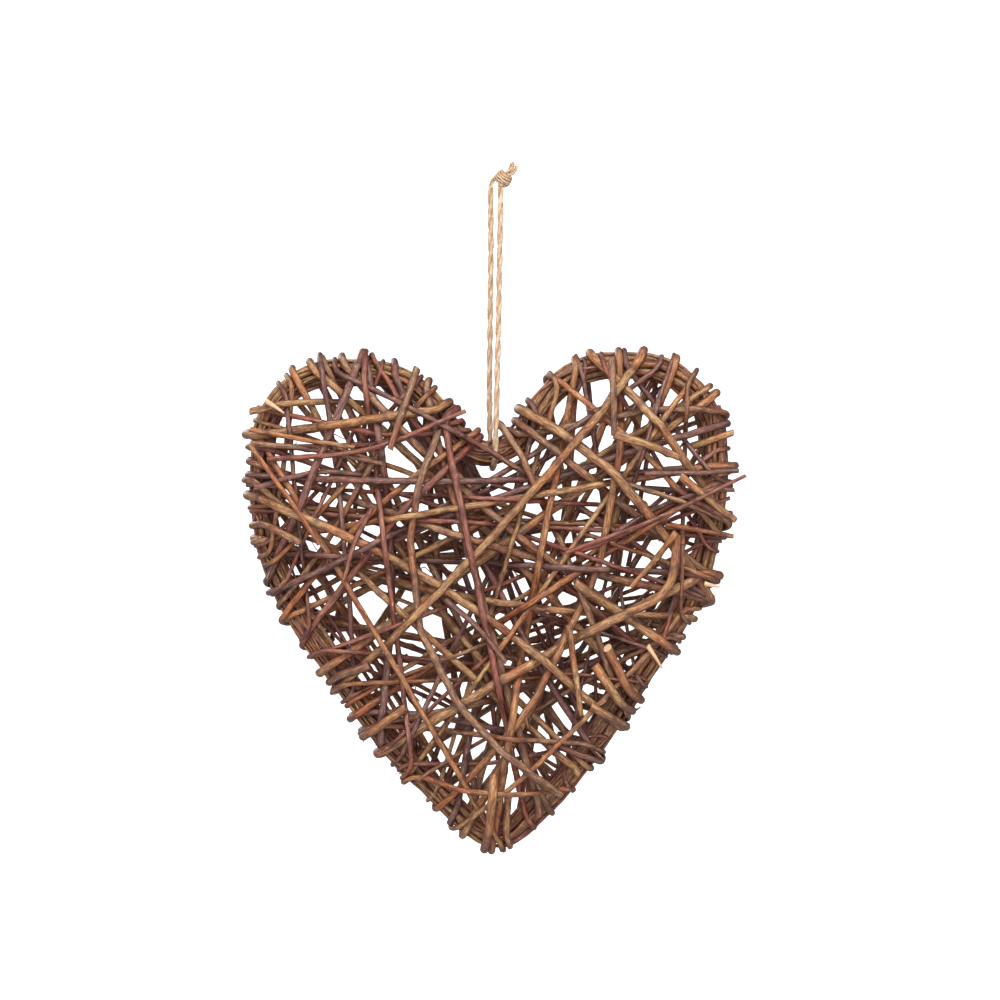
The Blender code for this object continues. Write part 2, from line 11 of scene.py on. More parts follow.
import bpy
import numpy as np
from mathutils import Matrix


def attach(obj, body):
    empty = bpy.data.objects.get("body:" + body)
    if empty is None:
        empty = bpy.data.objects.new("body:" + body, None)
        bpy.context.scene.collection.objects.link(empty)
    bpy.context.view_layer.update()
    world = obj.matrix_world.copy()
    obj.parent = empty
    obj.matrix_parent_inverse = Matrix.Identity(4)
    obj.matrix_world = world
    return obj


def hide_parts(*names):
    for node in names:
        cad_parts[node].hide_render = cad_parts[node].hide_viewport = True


MM = 0.001
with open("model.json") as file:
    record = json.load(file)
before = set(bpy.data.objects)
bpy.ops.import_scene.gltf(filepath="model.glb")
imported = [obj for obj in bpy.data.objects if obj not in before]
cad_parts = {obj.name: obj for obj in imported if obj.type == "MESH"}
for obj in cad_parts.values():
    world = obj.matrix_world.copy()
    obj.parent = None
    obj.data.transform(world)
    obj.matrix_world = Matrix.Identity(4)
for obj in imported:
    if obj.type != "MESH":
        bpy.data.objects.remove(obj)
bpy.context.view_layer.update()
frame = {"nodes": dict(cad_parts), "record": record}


# %% [markdown]
# ## The studio
# The photograph is a catalogue picture: the heart seen level and straight on, on white, in soft light
# with no hard shadow. A camera a good way off flattens the perspective as such a picture does. Behind
# and below the heart a single white sheet curves from floor to wall, which hides the corner. To the
# camera both the sheet and the sky are plain white, while the heart is lit by a slightly rosy sky and
# five large lamps. Half a millimetre of the heart covers one pixel of the picture.

# %% The camera
PIXEL = 0.5 * MM
PICTURE_SIDE = 1000
HANGING_POINT = (494, 188)
CAMERA_AWAY = 1.7

camera = bpy.data.cameras.new("camera")
camera.sensor_fit = "HORIZONTAL"
camera.angle = 2 * math.atan(0.5 * PICTURE_SIDE * PIXEL / CAMERA_AWAY)
camera_place = bpy.data.objects.new("camera", camera)
bpy.context.scene.collection.objects.link(camera_place)
camera_place.location = (
    (PICTURE_SIDE / 2 - HANGING_POINT[0]) * PIXEL,
    -CAMERA_AWAY,
    (HANGING_POINT[1] - PICTURE_SIDE / 2) * PIXEL,
)
camera_place.rotation_euler = (math.pi / 2, 0, 0)
bpy.context.scene.camera = camera_place
print("camera at", [round(value, 3) for value in camera_place.location])

# %% Putting a worked-out surface into a mesh
def put_in_mesh(name, points, faces, material, flat_ends=False):
    """One object at the origin, smooth or with its triangles flat. Points are rows of x, y, z; faces
    are a list of arrays, each with one row of corner numbers for every face."""
    mesh = bpy.data.meshes.new(name)
    corners = np.concatenate([rows.ravel() for rows in faces]).astype(np.int32)
    sizes = np.concatenate([np.full(len(rows), rows.shape[1]) for rows in faces])
    starts = np.concatenate([[0], np.cumsum(sizes)[:-1]]).astype(np.int32)
    mesh.vertices.add(len(points))
    mesh.vertices.foreach_set("co", points.astype(np.float32).ravel())
    mesh.loops.add(len(corners))
    mesh.loops.foreach_set("vertex_index", corners)
    mesh.polygons.add(len(starts))
    mesh.polygons.foreach_set("loop_start", starts)
    mesh.polygons.foreach_set("use_smooth", (sizes > 3) | (not flat_ends))
    mesh.update(calc_edges=True)
    mesh.validate()
    mesh.materials.append(material)
    obj = bpy.data.objects.new(name, mesh)
    bpy.context.scene.collection.objects.link(obj)
    return obj


def grid_faces(rows, columns, wraps=False):
    """The four-cornered faces between neighbouring points of a grid, row by row."""
    first = np.arange(rows - 1)[:, None] * columns
    across = np.arange(columns if wraps else columns - 1)[None]
    beside = (across + 1) % columns
    corners = [first + across, first + beside, first + columns + beside, first + columns + across]
    return np.stack(corners, axis=-1).reshape(-1, 4)


# %% Small helpers for materials
def fill(node, values):
    """Give the node's inputs their values, or link them to other nodes' outputs."""
    for socket, value in values.items():
        if isinstance(value, bpy.types.NodeSocket):
            node.id_data.links.new(value, node.inputs[socket])
        else:
            node.inputs[socket].default_value = value
    return node


def add(tree, kind, values=None, **settings):
    """A new node with its settings, and values or links for its inputs."""
    node = tree.nodes.new(kind)
    for name, value in settings.items():
        setattr(node, name, value)
    return fill(node, values or {})


def new_material(name):
    """A material, its node tree and its main shader."""
    material = bpy.data.materials.new(name)
    material.use_nodes = True
    return material, material.node_tree, material.node_tree.nodes["Principled BSDF"]


# %% The white sheet behind and below
SHEET_FLOOR = -0.46
SHEET_WALL = 2.6
SHEET_BEND = 0.5
SHEET_BEND_STEPS = 16
SHEET_FRONT = -3.0
SHEET_MIDDLE = -1.0
SHEET_TOP = 3.0
SHEET_HALF_WIDTH = 3.0


def sheet_line():
    """The sheet from the side: a flat floor, a quarter circle up and a flat wall."""
    turn = np.linspace(0, math.pi / 2, SHEET_BEND_STEPS)
    bend_y = SHEET_WALL - SHEET_BEND + SHEET_BEND * np.sin(turn)
    bend_z = SHEET_FLOOR + SHEET_BEND - SHEET_BEND * np.cos(turn)
    y = np.concatenate([[SHEET_FRONT, SHEET_MIDDLE], bend_y, [SHEET_WALL]])
    z = np.concatenate([[SHEET_FLOOR, SHEET_FLOOR], bend_z, [SHEET_TOP]])
    return y, z


white, tree, paint = new_material("studio_white")
fill(paint, {
    "Base Color": (0.5, 0.5, 0.5, 1),
    "Roughness": 0.9,
    "Emission Color": (1, 1, 1, 1),
    "Emission Strength": add(tree, "ShaderNodeLightPath").outputs["Is Camera Ray"],
})
y, z = sheet_line()
x = np.linspace(-SHEET_HALF_WIDTH, SHEET_HALF_WIDTH, 3)
sheet_points = np.stack(np.broadcast_arrays(x[None], y[:, None], z[:, None]), axis=-1)
sheet = put_in_mesh("studio_sheet", sheet_points.reshape(-1, 3), [grid_faces(len(y), len(x))], white)
print("sheet", len(y) * len(x), "points")

# %% Soft light from above, both sides, the front and the back
world = bpy.data.worlds.new("daylight")
world.use_nodes = True
tree = world.node_tree
sky = fill(tree.nodes["Background"], {"Color": (1, 0.82, 0.93, 1), "Strength": 0.6}).outputs[0]
plain_white = add(tree, "ShaderNodeBackground", {"Color": (1, 1, 1, 1)}).outputs[0]
seen = add(tree, "ShaderNodeLightPath").outputs["Is Camera Ray"]
chosen = add(tree, "ShaderNodeMixShader", {0: seen, 1: sky, 2: plain_white}).outputs[0]
fill(tree.nodes["World Output"], {"Surface": chosen})
bpy.context.scene.world = world
bpy.context.scene.view_settings.view_transform = "Standard"

# Name, place, watts, size and colour
SOFT_BOXES = [
    ("top_light", (0.1, -1.0, 0.9), 28, 0.8, (1, 1, 0.88)),
    ("left_light", (-1.3, -1.0, 0.3), 7.5, 0.8, (1, 0.98, 0.92)),
    ("right_light", (1.3, -1.1, 0.1), 5, 0.8, (1, 0.98, 0.92)),
    ("front_light", (0.05, -2.0, -0.1), 7.5, 0.5, (1, 0.80, 0.88)),
    ("back_light", (-1.0, 1.4, 0.6), 30, 0.8, (1, 1, 0.92)),
]
MIDDLE_HEIGHT = -0.2
for name, place, watts, size, colour in SOFT_BOXES:
    lamp = bpy.data.lights.new(name, "AREA")
    lamp.energy = watts
    lamp.color = colour
    lamp.size = size
    lamp_place = bpy.data.objects.new(name, lamp)
    lamp_place.location = place
    towards = np.array([0, 0, MIDDLE_HEIGHT]) - place
    lamp_place.rotation_euler = (
        math.atan2(math.hypot(towards[0], towards[1]), -towards[2]),
        0,
        math.atan2(towards[0], -towards[1]) + math.pi,
    )
    bpy.context.scene.collection.objects.link(lamp_place)
print("lights", [name for name, *_ in SOFT_BOXES])

# %% [markdown]
# ## Willow bark
# Peeled open, a willow rod's bark is a patchwork: long streaks from its own grain, patches where it
# dried redder or greener, tiny pale pores, and a dark ring with a bud scar where each leaf sat. All of
# these run with the rod, so the pattern can't be read from where the rod lies in the room. Each rod
# instead carries its own straight coordinates in an attribute called bark_space: across the rod in the
# first two numbers and along it in the third. Squeezing the third number draws any noise out into
# streaks. One shader group holds the recipe, and each colour of rod gives it its own three shades.

# %% Small helpers for patterns
def mixed(tree, factor, first, second, blend="MIX"):
    """The colour between two others, or their product where the blend is MULTIPLY."""
    values = {0: factor, 6: first, 7: second}
    return add(tree, "ShaderNodeMix", values, data_type="RGBA", blend_type=blend).outputs[2]


def banded(tree, value, low, high):
    """Nought below one value, one above the other, and smooth between."""
    values = {"Value": value, "From Min": low, "From Max": high}
    return add(tree, "ShaderNodeMapRange", values, interpolation_type="SMOOTHSTEP").outputs["Result"]


def between(tree, share, low, high):
    """A number that runs evenly from one value to another."""
    values = {"Value": share, "To Min": low, "To Max": high}
    return add(tree, "ShaderNodeMapRange", values).outputs["Result"]


def times(tree, first, second):
    return add(tree, "ShaderNodeMath", {0: first, 1: second}, operation="MULTIPLY").outputs[0]


def weighed(tree, parts):
    """The sum of some values, each times its share."""
    total = 0.0
    for value, share in parts:
        total = add(tree, "ShaderNodeMath", {0: total, 1: times(tree, value, share)}).outputs[0]
    return total


def stored(tree, name, output="Fac"):
    """What the mesh holds at each point: a number, or a vector where the output is Vector."""
    return add(tree, "ShaderNodeAttribute", attribute_name=name).outputs[output]


def drawn_out(tree, space, share):
    """A rod's straight coordinates with the way along it times a share, so that patterns lengthen."""
    return add(tree, "ShaderNodeVectorMath", {0: space, 1: (1, 1, share)}, operation="MULTIPLY").outputs[0]


def noise(tree, space, scale, detail, roughness=0.5):
    values = {"Vector": space, "Scale": scale, "Detail": detail, "Roughness": roughness}
    return add(tree, "ShaderNodeTexNoise", values).outputs["Fac"]


def bumped(tree, height, relief):
    return add(tree, "ShaderNodeBump", {"Height": height, "Distance": relief}).outputs["Normal"]


# %% The bark group
REDDER = (1.06, 0.80, 0.70, 1)
PORE = (0.56, 0.38, 0.22, 1)
CRACK = (0.034, 0.013, 0.011, 1)
OLD_WOOD = (0.34, 0.19, 0.09, 1)
FRESH_WOOD = (0.86, 0.66, 0.42, 1)

bark = bpy.data.node_groups.new("willow_bark", "ShaderNodeTree")
for direction, kind, names in (
    ("INPUT", "NodeSocketColor", ("Dark", "Middle", "Light")),
    ("OUTPUT", "NodeSocketColor", ("Color",)),
    ("OUTPUT", "NodeSocketFloat", ("Roughness", "Height")),
):
    for name in names:
        bark.interface.new_socket(name, in_out=direction, socket_type=kind)

shades = bark.nodes.new("NodeGroupInput").outputs
along = stored(bark, "bark_space", "Vector")
squeezed = drawn_out(bark, along, 0.22)
streaks = noise(bark, drawn_out(bark, along, 0.09), 1500, 5, 0.65)
mottles = noise(bark, squeezed, 620, 5, 0.7)
fine = noise(bark, squeezed, 1500, 4, 0.7)
patches = noise(bark, along, 38, 3, 0.6)
reds = noise(bark, along, 27, 1)
pores = add(bark, "ShaderNodeTexVoronoi", {"Vector": squeezed, "Scale": 700}).outputs["Distance"]

# The patterns that lighten the bark: where each starts and ends to tell, and its share
lightness = weighed(bark, [
    (banded(bark, mottles, 0.4, 0.62), 0.24),
    (banded(bark, patches, 0.34, 0.66), 0.2),
    (banded(bark, streaks, 0.43, 0.57), 0.26),
    (banded(bark, fine, 0.43, 0.57), 0.34),
])
dark_half = mixed(bark, banded(bark, lightness, 0.02, 0.48), shades["Dark"], shades["Middle"])
shade = mixed(bark, banded(bark, lightness, 0.42, 1.0), dark_half, shades["Light"])
reddened = mixed(bark, 1.0, shade, REDDER, "MULTIPLY")
shade = mixed(bark, banded(bark, reds, 0.5, 0.62), shade, reddened)

# What lies over it: where it is, how strong it is and its colour
for cover, strength, colour in (
    (times(bark, banded(bark, pores, 0.2, 0.1), banded(bark, fine, 0.46, 0.6)), 0.7, PORE),
    (times(bark, banded(bark, streaks, 0.45, 0.38), banded(bark, fine, 0.54, 0.42)), 0.85, shades["Dark"]),
    (banded(bark, mottles, 0.41, 0.34), 0.6, CRACK),
    (stored(bark, "leaf_ring"), 0.7, shades["Dark"]),
):
    shade = mixed(bark, times(bark, cover, strength), shade, colour)
wood = mixed(bark, streaks, OLD_WOOD, FRESH_WOOD)
fill(bark.nodes.new("NodeGroupOutput"), {
    "Color": mixed(bark, stored(bark, "cut_face"), shade, wood),
    "Roughness": between(bark, mottles, 0.35, 0.8),
    "Height": weighed(bark, [(mottles, 0.3), (fine, 0.3), (streaks, 0.4)]),
})
print("bark group", len(bark.nodes), "nodes")

# %% Five colours of rod, and the rim's
# Dark, middle and light shade
BARKS = {
    "plum": ((0.040, 0.015, 0.014), (0.110, 0.046, 0.037), (0.235, 0.132, 0.100)),
    "red": ((0.052, 0.014, 0.013), (0.160, 0.049, 0.032), (0.285, 0.134, 0.086)),
    "orange": ((0.066, 0.021, 0.013), (0.206, 0.078, 0.030), (0.360, 0.206, 0.076)),
    "tan": ((0.072, 0.028, 0.017), (0.218, 0.101, 0.041), (0.390, 0.262, 0.115)),
    "olive": ((0.054, 0.020, 0.015), (0.150, 0.067, 0.035), (0.305, 0.195, 0.098)),
    "rim": ((0.056, 0.020, 0.013), (0.178, 0.078, 0.031), (0.350, 0.225, 0.090)),
}
BARK_RELIEF = 0.3 * MM
# Tint of the painted shade towards the rods' edges
EDGE_PAINTED_SHADE = (0.27, 0.16, 0.16, 1)


def bark_material(name, shades):
    """The bark group with its three shades, and painted shade: the colour darkens towards the rod's edges,
    where its surface turns away from the view.
    """
    material, tree, shader = new_material(f"bark_{name}")
    group = add(tree, "ShaderNodeGroup", node_tree=bark)
    fill(group, {socket: (*shade, 1) for socket, shade in zip(("Dark", "Middle", "Light"), shades)})
    colour = group.outputs["Color"]
    # Painted shade: the more the surface turns from the view, the more the colour is multiplied by the
    # dark tint
    slant = banded(tree, add(tree, "ShaderNodeLayerWeight").outputs["Facing"], 0.15, 0.95)
    fill(shader, {
        "Base Color": mixed(tree, slant, colour, mixed(tree, 1.0, colour, EDGE_PAINTED_SHADE, "MULTIPLY")),
        "Roughness": group.outputs["Roughness"],
        "Normal": bumped(tree, group.outputs["Height"], BARK_RELIEF),
    })
    return material


barks = {name: bark_material(name, shades) for name, shades in BARKS.items()}
print("barks", list(barks))

# %% [markdown]
# ## One rod
# A willow rod is never quite round or even: it swells at each leaf ring, thins towards its tip and has
# flats along it. So its surface is a function of the way along and the way round: the rod's radius,
# times one, plus slow lumps, plus low ridges, plus a swelling at each ring with a bud on one side. The
# circle carried along the path must not spin, or the ridges would wind round like a rope's, so each
# circle's sideways direction is the last one's, laid flat across the new way. A cut end is a last,
# slightly narrower ring and a middle point, which makes a small chamfer round the pale wood.

# %% Even steps and smooth curves
def length_along(line):
    """How far along the path each of its points is."""
    return np.concatenate([[0], np.cumsum(np.linalg.norm(np.diff(line, axis=0), axis=1))])


def spaced(line, step, closed=False):
    """The same path with points an even step apart, and how far along it each one is."""
    if closed:
        line = np.concatenate([line, line[:1]])
    along = length_along(line)
    count = max(3, round(along[-1] / step) + 1)
    even = np.linspace(0, along[-1], count)
    return even, np.stack([np.interp(even, along, line[:, axis]) for axis in range(line.shape[1])], axis=1)


def smooth_line(route, pieces):
    """Smooth curve through the route's points: each stretch is a cubic whose ends point along the
    line from the point before to the point after."""
    route = np.array([2 * route[0] - route[1], *route, 2 * route[-1] - route[-2]])
    share = np.linspace(0, 1, pieces, endpoint=False)[:, None]
    line = []
    for before, start, end, after in zip(route, route[1:], route[2:], route[3:]):
        second = (end - before) * share
        third = (2 * before - 5 * start + 4 * end - after) * share**2
        fourth = (3 * start - before - 3 * end + after) * share**3
        line.append(0.5 * (2 * start + second + third + fourth))
    return np.concatenate([*line, route[-2:-1]])


# %% Rings of corners along a path
def angles(count):
    """The angles of a ring's corners, which are evenly spaced."""
    return np.arange(count) * 2 * math.pi / count


def ring_ways(side, up, count):
    """At each point of a path, the directions to a ring's corners: cos a side + sin a up."""
    around = angles(count)
    return np.cos(around)[None, :, None] * side[:, None] + np.sin(around)[None, :, None] * up[:, None]


def straightened(radius, count, even):
    """Where a ring's corners lie on the same rod made straight: across it, then along it."""
    around = angles(count)
    parts = radius * np.cos(around), radius * np.sin(around), even[:, None]
    return np.stack([np.broadcast_to(part, (len(even), count)) for part in parts], axis=-1)


def tube_faces(rows, sides):
    """Faces of a tube of rings and of its two ends, whose middle points come after all the rings."""
    columns = np.arange(sides)
    beside = (columns + 1) % sides
    first = np.stack([columns, np.full(sides, rows * sides), beside], axis=-1)
    last = np.stack([columns, beside, np.full(sides, sides + 1)], axis=-1) + (rows - 1) * sides
    return [grid_faces(rows, sides, True), first, last]


# %% Directions that don't spin
def carried_sides(line, closed=False):
    """Two directions across the path at each point, the first carried along without spinning."""
    ways = np.gradient(line, axis=0)
    if closed:
        ways = np.roll(line, -1, axis=0) - np.roll(line, 1, axis=0)
    ways = ways / np.linalg.norm(ways, axis=1)[:, None]
    side = np.cross(ways[0], [0.3, -1, 0.2])
    sides = []
    for way in ways:
        side = side - (side @ way) * way
        side = side / np.linalg.norm(side)
        sides.append(side)
    sides = np.array(sides)
    return sides, np.cross(ways, sides), ways


# %% Slow, uneven waves
def lumps(along, seed, longest, count=5):
    """Slow, uneven waves between about -1 and 1: a few sines of shrinking length, each shifted."""
    own = np.random.default_rng(seed)
    lengths = longest / (1 + 1.3 * np.arange(count) + own.random(count))
    shifts = own.random(count) * 2 * math.pi
    waves = np.sin(2 * math.pi * along[..., None] / lengths + shifts) / (1 + 0.5 * np.arange(count))
    return waves.sum(axis=-1) / 2


# %% A rod wanders and swells
LEAF_RING_GAP = 42 * MM
LEAF_RING_LENGTH = 1.5 * MM
RING_SWELLING = 0.07
BUD_SWELLING = 0.38
UNEVENNESS = 0.035
CRINKLE = 0.006
WANDER = 0.13
WANDER_LENGTH = 75 * MM
FREE_LENGTH = 12 * MM


def wandering(read, even, seed):
    """The rod's middle line, led off to both sides by a share of its radius, but not at its ends."""
    side, up, _ = carried_sides(read[:, :3])
    free = np.minimum(1, np.minimum(even, even[-1] - even) / FREE_LENGTH)[:, None]
    wander = side * lumps(even, seed + 5, WANDER_LENGTH)[:, None]
    wander = wander + up * lumps(even, seed + 6, WANDER_LENGTH)[:, None]
    return read[:, :3] + WANDER * free * read[:, 3:] * wander


def rod_sizes(even, around, seed, own):
    """How full a rod is at a way along s and a way round a, which is 1 + 0.035 (lumps(s) + lumps(s)
    cos(3 a) + lumps(s) cos(2 a)) + the swelling of each leaf ring and its bud, where the lumps are
    slow, slow and quick. How near each way along is to a leaf ring comes with it."""
    rings = np.arange(own.uniform(0.2, 1) * LEAF_RING_GAP, even[-1], LEAF_RING_GAP)
    rings = rings + own.uniform(-0.3, 0.3, len(rings)) * LEAF_RING_GAP
    buds = own.uniform(0, 2 * math.pi, len(rings))
    near = np.exp(-(((even[:, None] - rings) / LEAF_RING_LENGTH) ** 2))
    above = np.exp(-(((even[:, None] - rings - LEAF_RING_LENGTH) / LEAF_RING_LENGTH) ** 2))
    bud = np.clip(np.cos(around[None, None] - buds[None, :, None]), 0, 1) ** 6
    size = 1 + UNEVENNESS * lumps(even, seed + 2, 70 * MM)[:, None]
    for waves, shift, longest in ((3, 1, 90 * MM), (2, 3, 9 * MM)):
        bulges = np.cos(waves * around + own.uniform(0, 6))
        size = size + UNEVENNESS * lumps(even, seed + shift, longest)[:, None] * bulges
    size = size + (near[:, :, None] * RING_SWELLING + above[:, :, None] * BUD_SWELLING * bud).sum(axis=1)
    return size + own.normal(0, CRINKLE, size.shape), np.clip(near.sum(axis=1), 0, 1)


# %% What its bark reads
CUT_NARROWS = 0.9
PEELED_AGE = 0.8


def rod_attributes(read, even, sides, near_ring, peeled, own):
    """Three values for each point: where it is on the straight rod, how near a leaf ring, and how old
    the cut is there, which is nought on the bark. The narrower end rings and the two middle points
    are among the points."""
    straight = straightened(read[:, 3:], sides, even)
    narrowed = straight[[0, -1]] * [CUT_NARROWS, CUT_NARROWS, 1]
    straight = np.concatenate([narrowed[:1], straight, narrowed[1:]]).reshape(-1, 3)
    straight = np.concatenate([straight, [[0, 0, 0], [0, 0, even[-1]]]]) + own.uniform(0, 3, 3)
    ringed = np.append(np.repeat(np.concatenate([[0], near_ring, [0]]), sides), [0, 0])
    first_age, last_age = own.uniform(0.15, 0.9, 2)
    cut = np.zeros(len(straight))
    cut[:sides] = first_age
    cut[-2 - sides : -2] = last_age
    cut[-2:] = first_age, last_age
    if peeled:
        cut[:] = PEELED_AGE
    return straight, ringed, cut


# %% The rod's surface
RING_STEP = 1.3 * MM
ROD_SIDES = 12
CHAMFER = 0.15 * MM
CUT_SLANT = 0.35


def rod_surface(line, radii, seed, sides=ROD_SIDES, peeled=False):
    """A rod as a closed surface: its points, faces and attributes. A corner lies at the path's radius
    times the rod's size there from the middle: p(s, a) = path(s) + r(s) size(s, a) (cos a side + sin a
    up). The ends slant, and each is closed by a narrower ring and a middle point."""
    even, read = spaced(np.column_stack([line, radii]), RING_STEP)
    own = np.random.default_rng(seed)
    path = wandering(read, even, seed)
    side, up, ways = carried_sides(path)
    around = angles(sides)
    size, near_ring = rod_sizes(even, around, seed, own)
    across = (read[:, 3:] * size)[..., None] * ring_ways(side, up, sides)
    shell = path[:, None] + across
    tilt = own.uniform(-CUT_SLANT, CUT_SLANT, (2, 2))
    inner, middles = [], []
    for index, outwards in ((0, -1), (-1, 1)):
        lean = tilt[index] * read[index, 3]
        slope = np.cos(around)[:, None] * lean[0] + np.sin(around)[:, None] * lean[1]
        shell[index] += slope * ways[index]
        slope = slope * CUT_NARROWS + outwards * CHAMFER
        inner.append(path[index] + CUT_NARROWS * across[index] + slope * ways[index])
        middles.append(path[index] + outwards * CHAMFER * ways[index])
    rows = np.concatenate([inner[:1], shell, inner[1:]])
    points = np.concatenate([rows.reshape(-1, 3), middles])
    return points, tube_faces(len(rows), sides), rod_attributes(read, even, sides, near_ring, peeled, own)


# %% Surfaces as pieces
def joined_piece(name, surfaces, material, attributes=(), flat_ends=False):
    """One piece of one or more closed surfaces, each its points, its faces and its attributes, which
    are one number or one vector for every point."""
    faces, count = [], 0
    for points, own_faces, _ in surfaces:
        faces += [rows + count for rows in own_faces]
        count += len(points)
    points = np.concatenate([each[0] for each in surfaces])
    piece = put_in_mesh(name, points, faces, material, flat_ends)
    for index, attribute in enumerate(attributes):
        values = np.concatenate([each[2][index] for each in surfaces])
        kind, field = ("FLOAT_VECTOR", "vector") if values.ndim == 2 else ("FLOAT", "value")
        made = piece.data.attributes.new(attribute, kind, "POINT")
        made.data.foreach_set(field, values.astype(np.float32).ravel())
    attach(piece, "root")
    return piece


def rods_piece(name, surfaces, tone):
    """One piece of one or more rods' surfaces, with flat shading on the cut ends."""
    return joined_piece(name, surfaces, barks[tone], ("bark_space", "leaf_ring", "cut_face"), True)


def rod_piece(name, line, radii, tone, seed, **settings):
    return rods_piece(name, [rod_surface(line, radii, seed, **settings)], tone)


# %% [markdown]
# ## The rods of the plain model
# Each plain rod is a five-sided tube, so its middle line can be read back from it: starting at one
# end's five corners, every ring of corners is joined to the next, and each ring's middle is a point of
# the line. The line is then eased, because a real rod bends in one sweep where the plain one has
# corners. Easing is a weighted mean with the neighbours, done a few times over.

# %% A plain rod's corners, each once
def merged_mesh(node):
    """The plain node's corners, each once, and its triangles as rows of three corner numbers."""
    mesh = frame["nodes"][node].data
    loose = np.empty(len(mesh.vertices) * 3, np.float32)
    mesh.vertices.foreach_get("co", loose)
    corners, merged = np.unique(np.round(loose.reshape(-1, 3), 6), axis=0, return_inverse=True)
    mesh.calc_loop_triangles()
    sides = np.empty(len(mesh.loop_triangles) * 3, np.int32)
    mesh.loop_triangles.foreach_get("vertices", sides)
    return corners, merged.ravel()[sides].reshape(-1, 3)


# %% Its flat ends
PLAIN_SIDES = 5
NO_LENGTH = 1e-12
SAME_PLANE = 0.99999
ROUND_WITHIN = 0.05


def end_faces(corners, sides):
    """The corner numbers of each flat end: neighbouring triangles that lie in one plane are grouped,
    and an end is a group whose corners are as many as the tube's sides and lie on a circle."""
    first, second, third = corners[sides.T]
    normals = np.cross(second - first, third - first)
    normals = normals / np.maximum(np.linalg.norm(normals, axis=1), NO_LENGTH)[:, None]
    groups = [frozenset([index]) for index in range(len(sides))]
    beside = {}
    for index, (a, b, c) in enumerate(sides.tolist()):
        for edge in (frozenset((a, b)), frozenset((b, c)), frozenset((c, a))):
            other = beside.setdefault(edge, index)
            if normals[other] @ normals[index] > SAME_PLANE:
                together = groups[other] | groups[index]
                for each in together:
                    groups[each] = together
    ends = []
    for group in sorted({each for each in groups if len(each) == PLAIN_SIDES - 2}, key=min):
        ring = set(sides[list(group)].ravel().tolist())
        place = corners[list(ring)]
        spread = np.linalg.norm(place - place.mean(axis=0), axis=1)
        if len(ring) == PLAIN_SIDES and np.ptp(spread) < ROUND_WITHIN * spread.mean():
            ends.append(ring)
    return ends


# %% Its middle line
def eased(line, times_over, closed=False):
    """The line with each point moved halfway to the middle of its neighbours, a few times over."""
    for _ in range(times_over):
        softer = 0.5 * line + 0.25 * (np.roll(line, 1, axis=0) + np.roll(line, -1, axis=0))
        if not closed:
            softer[[0, -1]] = line[[0, -1]]
        line = softer
    return line


def middle_line(node, times_over):
    """The plain rod's middle and radius at even steps from its thick end to its thin one, eased a few
    times over. The radius runs evenly from one end's to the other's."""
    corners, sides = merged_mesh(node)
    joined = {}
    for triangle in sides.tolist():
        for corner in triangle:
            joined.setdefault(corner, set()).update(triangle)
    ring = end_faces(corners, sides)[0]
    seen = set(ring)
    middles = []
    spreads = []
    while ring:
        place = corners[list(ring)]
        middles.append(place.mean(axis=0))
        spreads.append(np.linalg.norm(place - middles[-1], axis=1).mean())
        ring = set.union(*[joined[corner] for corner in ring]) - seen
        seen |= ring
    middles = np.array(middles)
    if spreads[0] < spreads[-1]:
        middles = middles[::-1]
        spreads = spreads[::-1]
    along = length_along(middles)
    radii = np.interp(along / along[-1], [0, 1], [spreads[0], spreads[-1]])
    _, read = spaced(np.column_stack([middles, radii]), RING_STEP)
    return eased(read, times_over)


weaving_nodes = sorted(name for name in frame["nodes"] if name.startswith("weaving_rod"))
tones = {each["node"]: each["material_slot"] for each in frame["record"]["subparts"]}
print("weaving rods", len(weaving_nodes))

# %% [markdown]
# ## The rim
# Under the weaving, a ring of wire carries a bundle of rods, laid side by side and slowly twisted. In
# the photograph they show as parallel thin rods at the flanks, paler than the weaving, with a glint of
# wire between them. The plain wire's corners, sorted by their angle round the heart, give its middle
# line, and the same line serves later to lead the thin rods round the rim.

# %% Dress the rim's rods
RIM_EASING = 14
RIM_FULLNESS = 1.02

wound = []
rim_nodes = sorted(name for name in frame["nodes"] if name.startswith("rim_rod"))
for number, node in enumerate(rim_nodes):
    read = middle_line(node, RIM_EASING)
    radii = read[:, 3] * RIM_FULLNESS
    piece = rod_piece(node + "_bark", read[:, :3], radii, "rim", seed=700 + 10 * number)
    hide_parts(node)
    wound.append(read)
print("dressed", len(rim_nodes), "rim rods")

# %% The wire
HEART_MIDDLE = -0.2103
WIRE_RADIUS = 1.3 * MM
WIRE_SIDES = 10
WIRE_STEP = 1.0 * MM
WIRE_EASING = 20


def ring_line(node):
    """Middle line of a plain closed ring: its corners in the order of their angle round the heart,
    clockwise from the top, averaged one ring of corners at a time."""
    corners, _ = merged_mesh(node)
    clock = np.arctan2(corners[:, 0], corners[:, 2] - HEART_MIDDLE) % (2 * math.pi)
    order = corners[np.argsort(clock)]
    return order.reshape(-1, PLAIN_SIDES, 3).mean(axis=1)


_, rim_line = spaced(ring_line("wire_frame"), WIRE_STEP, closed=True)
rim_line = eased(rim_line[:-1], WIRE_EASING, closed=True)
side, up, _ = carried_sides(rim_line, closed=True)
wire_points = rim_line[:, None] + WIRE_RADIUS * ring_ways(side, up, WIRE_SIDES)
wire_faces = grid_faces(len(rim_line) + 1, WIRE_SIDES, True) % (len(rim_line) * WIRE_SIDES)
steel, tree, shader = new_material("wire_steel")
dulling = noise(tree, add(tree, "ShaderNodeTexCoord").outputs["Object"], 260, 4)
fill(shader, {
    "Metallic": 1.0,
    "Base Color": mixed(tree, dulling, (0.30, 0.29, 0.27, 1), (0.66, 0.66, 0.65, 1)),
    "Roughness": between(tree, dulling, 0.55, 0.3),
})
wire = joined_piece("wire_ring", [(wire_points.reshape(-1, 3), [wire_faces], ())], steel)
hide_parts("wire_frame")
print("wire", round(len(rim_line) * WIRE_STEP / MM), "mm round")

